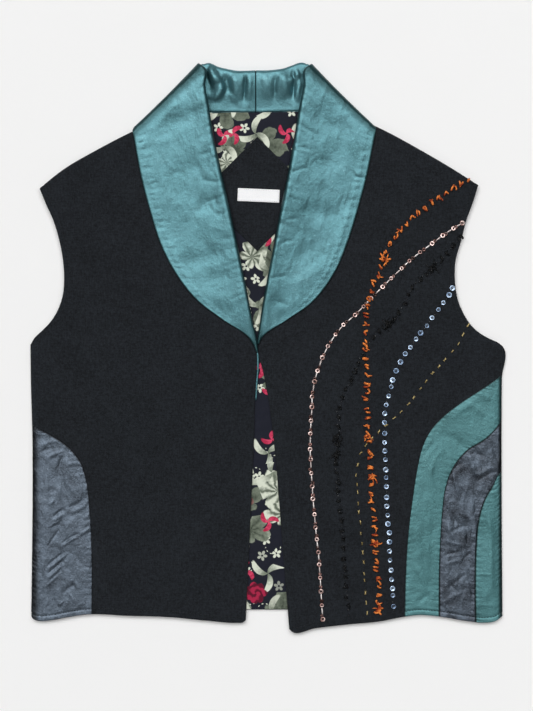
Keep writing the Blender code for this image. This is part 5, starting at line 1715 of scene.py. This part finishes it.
# Loose ends of yarn: short bent strands that lie on the cloth
def yarnTails(places, length, radius):
    count = len(places)
    t = np.linspace(0.0, 1.0, 7)
    reach = length * rng.uniform(0.6, 1.2, (count, 1))
    turn = rng.uniform(0, 2 * math.pi, (count, 1)) + rng.uniform(-1.4, 1.4, (count, 1)) * t
    paths = np.stack([places[:, :1] + np.cumsum(np.cos(turn), axis=1) * reach / 7,
                      places[:, 1:2] + np.cumsum(np.sin(turn), axis=1) * reach / 7,
                      places[:, 2:] + radius + 0.9 * (1 - t) + 0 * turn], axis=-1)
    radii = np.broadcast_to(radius * (1 - 0.5 * t**3), (count, 7))
    return tubePoints(paths, radii, np.array([0.0, 0.0, 1.0]), 6)


# A row of knots, each of some loops side by side, with loose ends at every third, and
# larger tufts at spots of their own
def yarnKnots(row, step, loops, size, radius, tufts, tuftLoops):
    places, turns = trimPlaces(row, step, 0.0, 0.9)
    big = rng.uniform(0.75, 1.25, (len(places), 1))
    way = np.stack([np.cos(turns), np.sin(turns), 0 * turns], axis=-1)
    groups = [yarnLoops(places + way * apart, turns + 1.1, size * big, radius, size * 0.22)
              for apart in np.linspace(-0.42, 0.42, loops) * size]
    groups.append(yarnTails(places[1::3], 2.4 * size, radius * 0.75))
    spots = tablePlace(tufts)
    spots = np.repeat(np.column_stack([spots, frontTop(spots, "left")]), tuftLoops, axis=0)
    groups.append(yarnLoops(spots, rng.uniform(0, 6.28, len(spots)), size * 1.25, radius, size * 0.9))
    groups.append(yarnTails(spots, 3.6 * size, radius * 0.7))
    return groups


# Knots and tufts of orange yarn
def makeOrangeRow():
    trim = trims
    groups = yarnKnots("orange", trim["orangeStep"], trim["orangeLoops"], trim["orangeSize"],
                       trim["orangeRadius"], tuftSpots, trim["tuftLoops"])
    return joinedPiece("orangeKnots", groups, finishes["orangeYarn"], "trim_yarn")


# A flattened ring
def ringShape(radius, wall, sides=14, around=6):
    angle = np.arange(around) * 2 * math.pi / around
    return turnedShape(np.column_stack([radius + wall * np.cos(angle), wall * 0.7 * np.sin(angle)]),
                       sides)


# Ring, tube bead and brown ring, over and over, each a share of the step further on
def makeRoseRow():
    trim = trims
    places, turns = trimPlaces("rose", trim["roseStep"], 0.0, 0.5, trim["ringWall"] * 0.7)
    tilts = rng.uniform(-0.25, 0.25, (len(places), 2))
    rings = scattered(ringShape(trim["ringRadius"], trim["ringWall"]), places, turns,
                      rng.uniform(0.85, 1.1, len(places)), tilts)
    way = np.diff(places, axis=0)
    starts = places[:-1]
    sides = unit(np.cross(way, [0.0, 0.0, 1.0]))
    t = np.linspace(-0.5, 0.5, 4)[None, :, None]
    paths = (starts + trim["bugleAt"] * way)[:, None]
    paths = paths + unit(way)[:, None] * t * trim["bugleLength"]
    paths[..., 2] = frontTop(paths, "left") + trim["bugleRadius"] * 0.9
    radii = np.full(paths.shape[:2], trim["bugleRadius"]) * np.array([0.7, 1, 1, 0.7])
    bugles = tubePoints(paths, radii, sides[:, None], 6)
    browns = starts + trim["brownAt"] * way + rng.normal(0.0, 0.35, way.shape) * [1, 1, 0]
    browns[:, 2] = frontTop(browns, "left") + 0.8
    small = scattered(ringShape(trim["brownRadius"], trim["brownWall"]), browns, 0.0,
                      rng.uniform(0.8, 1.15, len(browns)),
                      rng.uniform(-0.5, 0.5, (len(browns), 2)))
    seeds = places + [0, 0, 0.1]
    centres = scattered(beadShape(*trim["roseSeed"]), seeds, turns,
                        rng.uniform(0.7, 1.1, len(seeds)))
    return [joinedPiece("roseSequins", [rings], finishes["roseGold"], "trim_sequins"),
            joinedPiece("roseBugles", [bugles], finishes["paleBugle"], "trim_beads"),
            joinedPiece("brownBeads", [small, centres], finishes["brownBead"], "trim_beads")]


# Knots of black yarn, with black beads strewn between them
def makeBlackRow():
    trim = trims
    knots = yarnKnots("black", trim["blackStep"], trim["blackLoops"], trim["blackSize"],
                      trim["blackRadius"], knotSpots, trim["knotLoops"])
    seeds, turns = trimPlaces("black", trim["blackStep"] / 2, 2.0, 1.6, 0.8)
    strewn = scattered(beadShape(*trim["seed"]), seeds, turns,
                       rng.uniform(0.7, 1.25, len(seeds)))
    return [joinedPiece("blackKnots", knots, finishes["blackYarn"], "trim_yarn"),
            joinedPiece("blackBeads", [strewn], finishes["blackBead"], "trim_beads")]


# A cup sequin: a thin shell of height depth (r / R)^2, closed at its rim, with a hole for
# thread
def cupShape(radius, sides=14):
    share = np.array([trims["cupHole"], 0.45, 0.75, 1.0])
    lower = np.column_stack([radius * share, 0.02 + trims["cupDepth"] * share**2])
    upper = (lower + (0.0, trims["cupWall"]))[::-1]
    return turnedShape(np.vstack([lower, upper]), sides)


# Cups with a bead in each, and smaller beads between them
def makeBlueRow():
    trim = trims
    places, turns = trimPlaces("blue", trim["blueStep"], 0.0, 0.6, 0.15)
    cups = scattered(cupShape(trim["cupRadius"]), places, turns,
                     rng.uniform(0.85, 1.1, len(places)),
                     rng.uniform(-0.2, 0.2, (len(places), 2)))
    centres = scattered(beadShape(*trim["blueSeed"]), places + [0, 0, trim["blueSeed"][0]],
                        turns, rng.uniform(0.85, 1.1, len(places)))
    seeds, ways = trimPlaces("blue", trim["blueStep"], trim["blueStep"] / 2, 0.6, 0.7)
    between = scattered(beadShape(*trim["smallSeed"]), seeds, ways,
                        rng.uniform(0.8, 1.2, len(seeds)))
    return [joinedPiece("blueSequins", [cups], finishes["paleBlue"], "trim_sequins"),
            joinedPiece("blueRowBeads", [centres, between], finishes["blackBead"],
                        "trim_beads")]


# Two short strands that cross at a small angle
def makeGoldRow():
    trim = trims
    places, base = trimPlaces("gold", trim["goldStep"], 0.0, 0.6, 0.0)
    t = np.linspace(-1.0, 1.0, 6)
    groups = []
    for lean, lift in ((trim["goldLean"], 0.0), (-trim["goldLean"], 0.45)):
        turns = base + lean + rng.uniform(-0.2, 0.2, len(base))
        way = np.stack([np.cos(turns), np.sin(turns)], axis=-1)[:, None]
        length = trim["goldLength"] * rng.uniform(0.75, 1.15, (len(places), 1, 1))
        plan = places[:, None, :2] + way * t[None, :, None] * length / 2
        z = frontTop(plan, "left") + (0.6 + lift) * (1 - t**2) + 0.1
        paths = np.concatenate([plan, z[..., None]], axis=-1)
        side = np.stack([-np.sin(turns), np.cos(turns), 0 * turns], axis=-1)[:, None]
        radii = np.broadcast_to(trim["goldRadius"] * (1 - 0.5 * t**4), paths.shape[:2])
        groups.append(tubePoints(paths, radii, side, 6))
    return joinedPiece("goldStitches", groups, finishes["goldThread"], "trim_yarn")


trimPieces = [makeOrangeRow(), *makeRoseRow(), *makeBlackRow(), *makeBlueRow(), makeGoldRow()]
print("Trimming made:", len(trimPieces), "pieces")


# Each flat piece of cloth or leather, with the size it was cut to
def declareCut(piece, flat):
    size, area = cutSize(flat)
    print("Cut of", piece.name, [round(value, 3) for value in (*size, area)])


declareCut(backPiece, backFlat)
declareCut(liningPiece, liningFlat)
declareCut(rightPiece, rightFlat)
declareCut(leftPiece, leftFlat)
for (piece, flat), stitch in zip(sidePieces, topstitch[1:]):
    declareCut(piece, flat)
for piece, cut in ((collarRight, collarRightCut), (collarLeft, collarLeftCut)):
    print("Cut of", piece.name, [round(value, 3) for value in cut])


# The sky is low all round and high in a cap about its tilt, from the cosine "cap" up
stage = {"floor": (0.935, 0.933, 0.931), "mottle": 60.0, "reach": 4.0, "floorZ": -0.0002,
         "lens": 120.0, "sensor": 36.0, "aimHeight": 6.0, "low": 0.10, "high": 3.9,
         "cap": 0.80, "tilt": (-0.10, 0.37, 0.92)}
# Place in metres, size in metres and watts of each soft light
lights = {
    "topLeft": ((-1.25, 1.35, 2.5), 1.0, 22.0),
    "topRight": ((1.35, 1.1, 2.5), 1.0, 22.0),
    "footLeft": ((-1.3, -1.5, 2.5), 1.0, 19.0),
    "footRight": ((1.2, -1.6, 2.5), 1.0, 19.0),
}


# A pale floor, and a sky whose strength goes with the cosine between a direction and its tilt
def makeFloorAndSky():
    floor = Finish("paleFloor", Roughness=0.9, Specular_IOR_Level=0.1)
    shaded = tuple(value * 0.99 for value in stage["floor"])
    floor.paint(Base_Color=floor.mix(floor.noise(stage["mottle"]), stage["floor"], shaded))
    corners = np.array([(-1, -1), (1, -1), (1, 1), (-1, 1)]) * stage["reach"]
    mesh = bpy.data.meshes.new("floor")
    mesh.from_pydata([(x, y, stage["floorZ"]) for x, y in corners.tolist()], [], [(0, 1, 2, 3)])
    mesh.materials.append(floor.material)
    placeObject("floor", mesh)
    world = bpy.data.worlds.new("studio")
    world.use_nodes = True
    sky = Maker(world.node_tree)
    toward = sky.node("ShaderNodeVectorMath", {"operation": "DOT_PRODUCT"}, {
        0: sky.node("ShaderNodeTexCoord").outputs["Generated"],
        1: tuple(unit(np.array(stage["tilt"])))})
    level = sky.node("ShaderNodeMapRange", {}, {
        "Value": toward.outputs["Value"], "From Min": stage["cap"], "From Max": 1.0,
        "To Min": stage["low"], "To Max": stage["high"]})
    shader = sky.tree.nodes["Background"]
    sky.feed(shader.inputs["Color"], (1.0, 1.0, 1.0))
    sky.feed(shader.inputs["Strength"], level.outputs[0])
    bpy.context.scene.world = world


# Round soft lights, each turned so that its own -Z points at the origin
def makeLights():
    for name, (place, size, power) in lights.items():
        lamp = bpy.data.lights.new(name, "AREA")
        lamp.shape = "DISK"
        lamp.size, lamp.energy = size, power
        holder = placeObject(name, lamp)
        holder.location = place
        aim = unit(-np.array(place))
        holder.rotation_euler = (math.acos(-aim[2]), 0.0, math.atan2(aim[0], -aim[1]))


# Straight down on the table; distance = lens / sensor times the photograph's long side
def makeCamera():
    data = bpy.data.cameras.new("camera")
    data.lens, data.sensor_width = stage["lens"], stage["sensor"]
    camera = placeObject("camera", data)
    middle = tablePlace((photo["width"] / 2, photo["height"] / 2)) * mm
    distance = stage["lens"] / stage["sensor"] * photo["height"] * photo["scale"] * mm
    camera.location = (middle[0], middle[1], distance + stage["aimHeight"] * mm)
    bpy.context.scene.camera = camera


makeFloorAndSky()
makeLights()
makeCamera()
bpy.context.scene.view_settings.view_transform = "Standard"
print("Stage, lights and camera made")
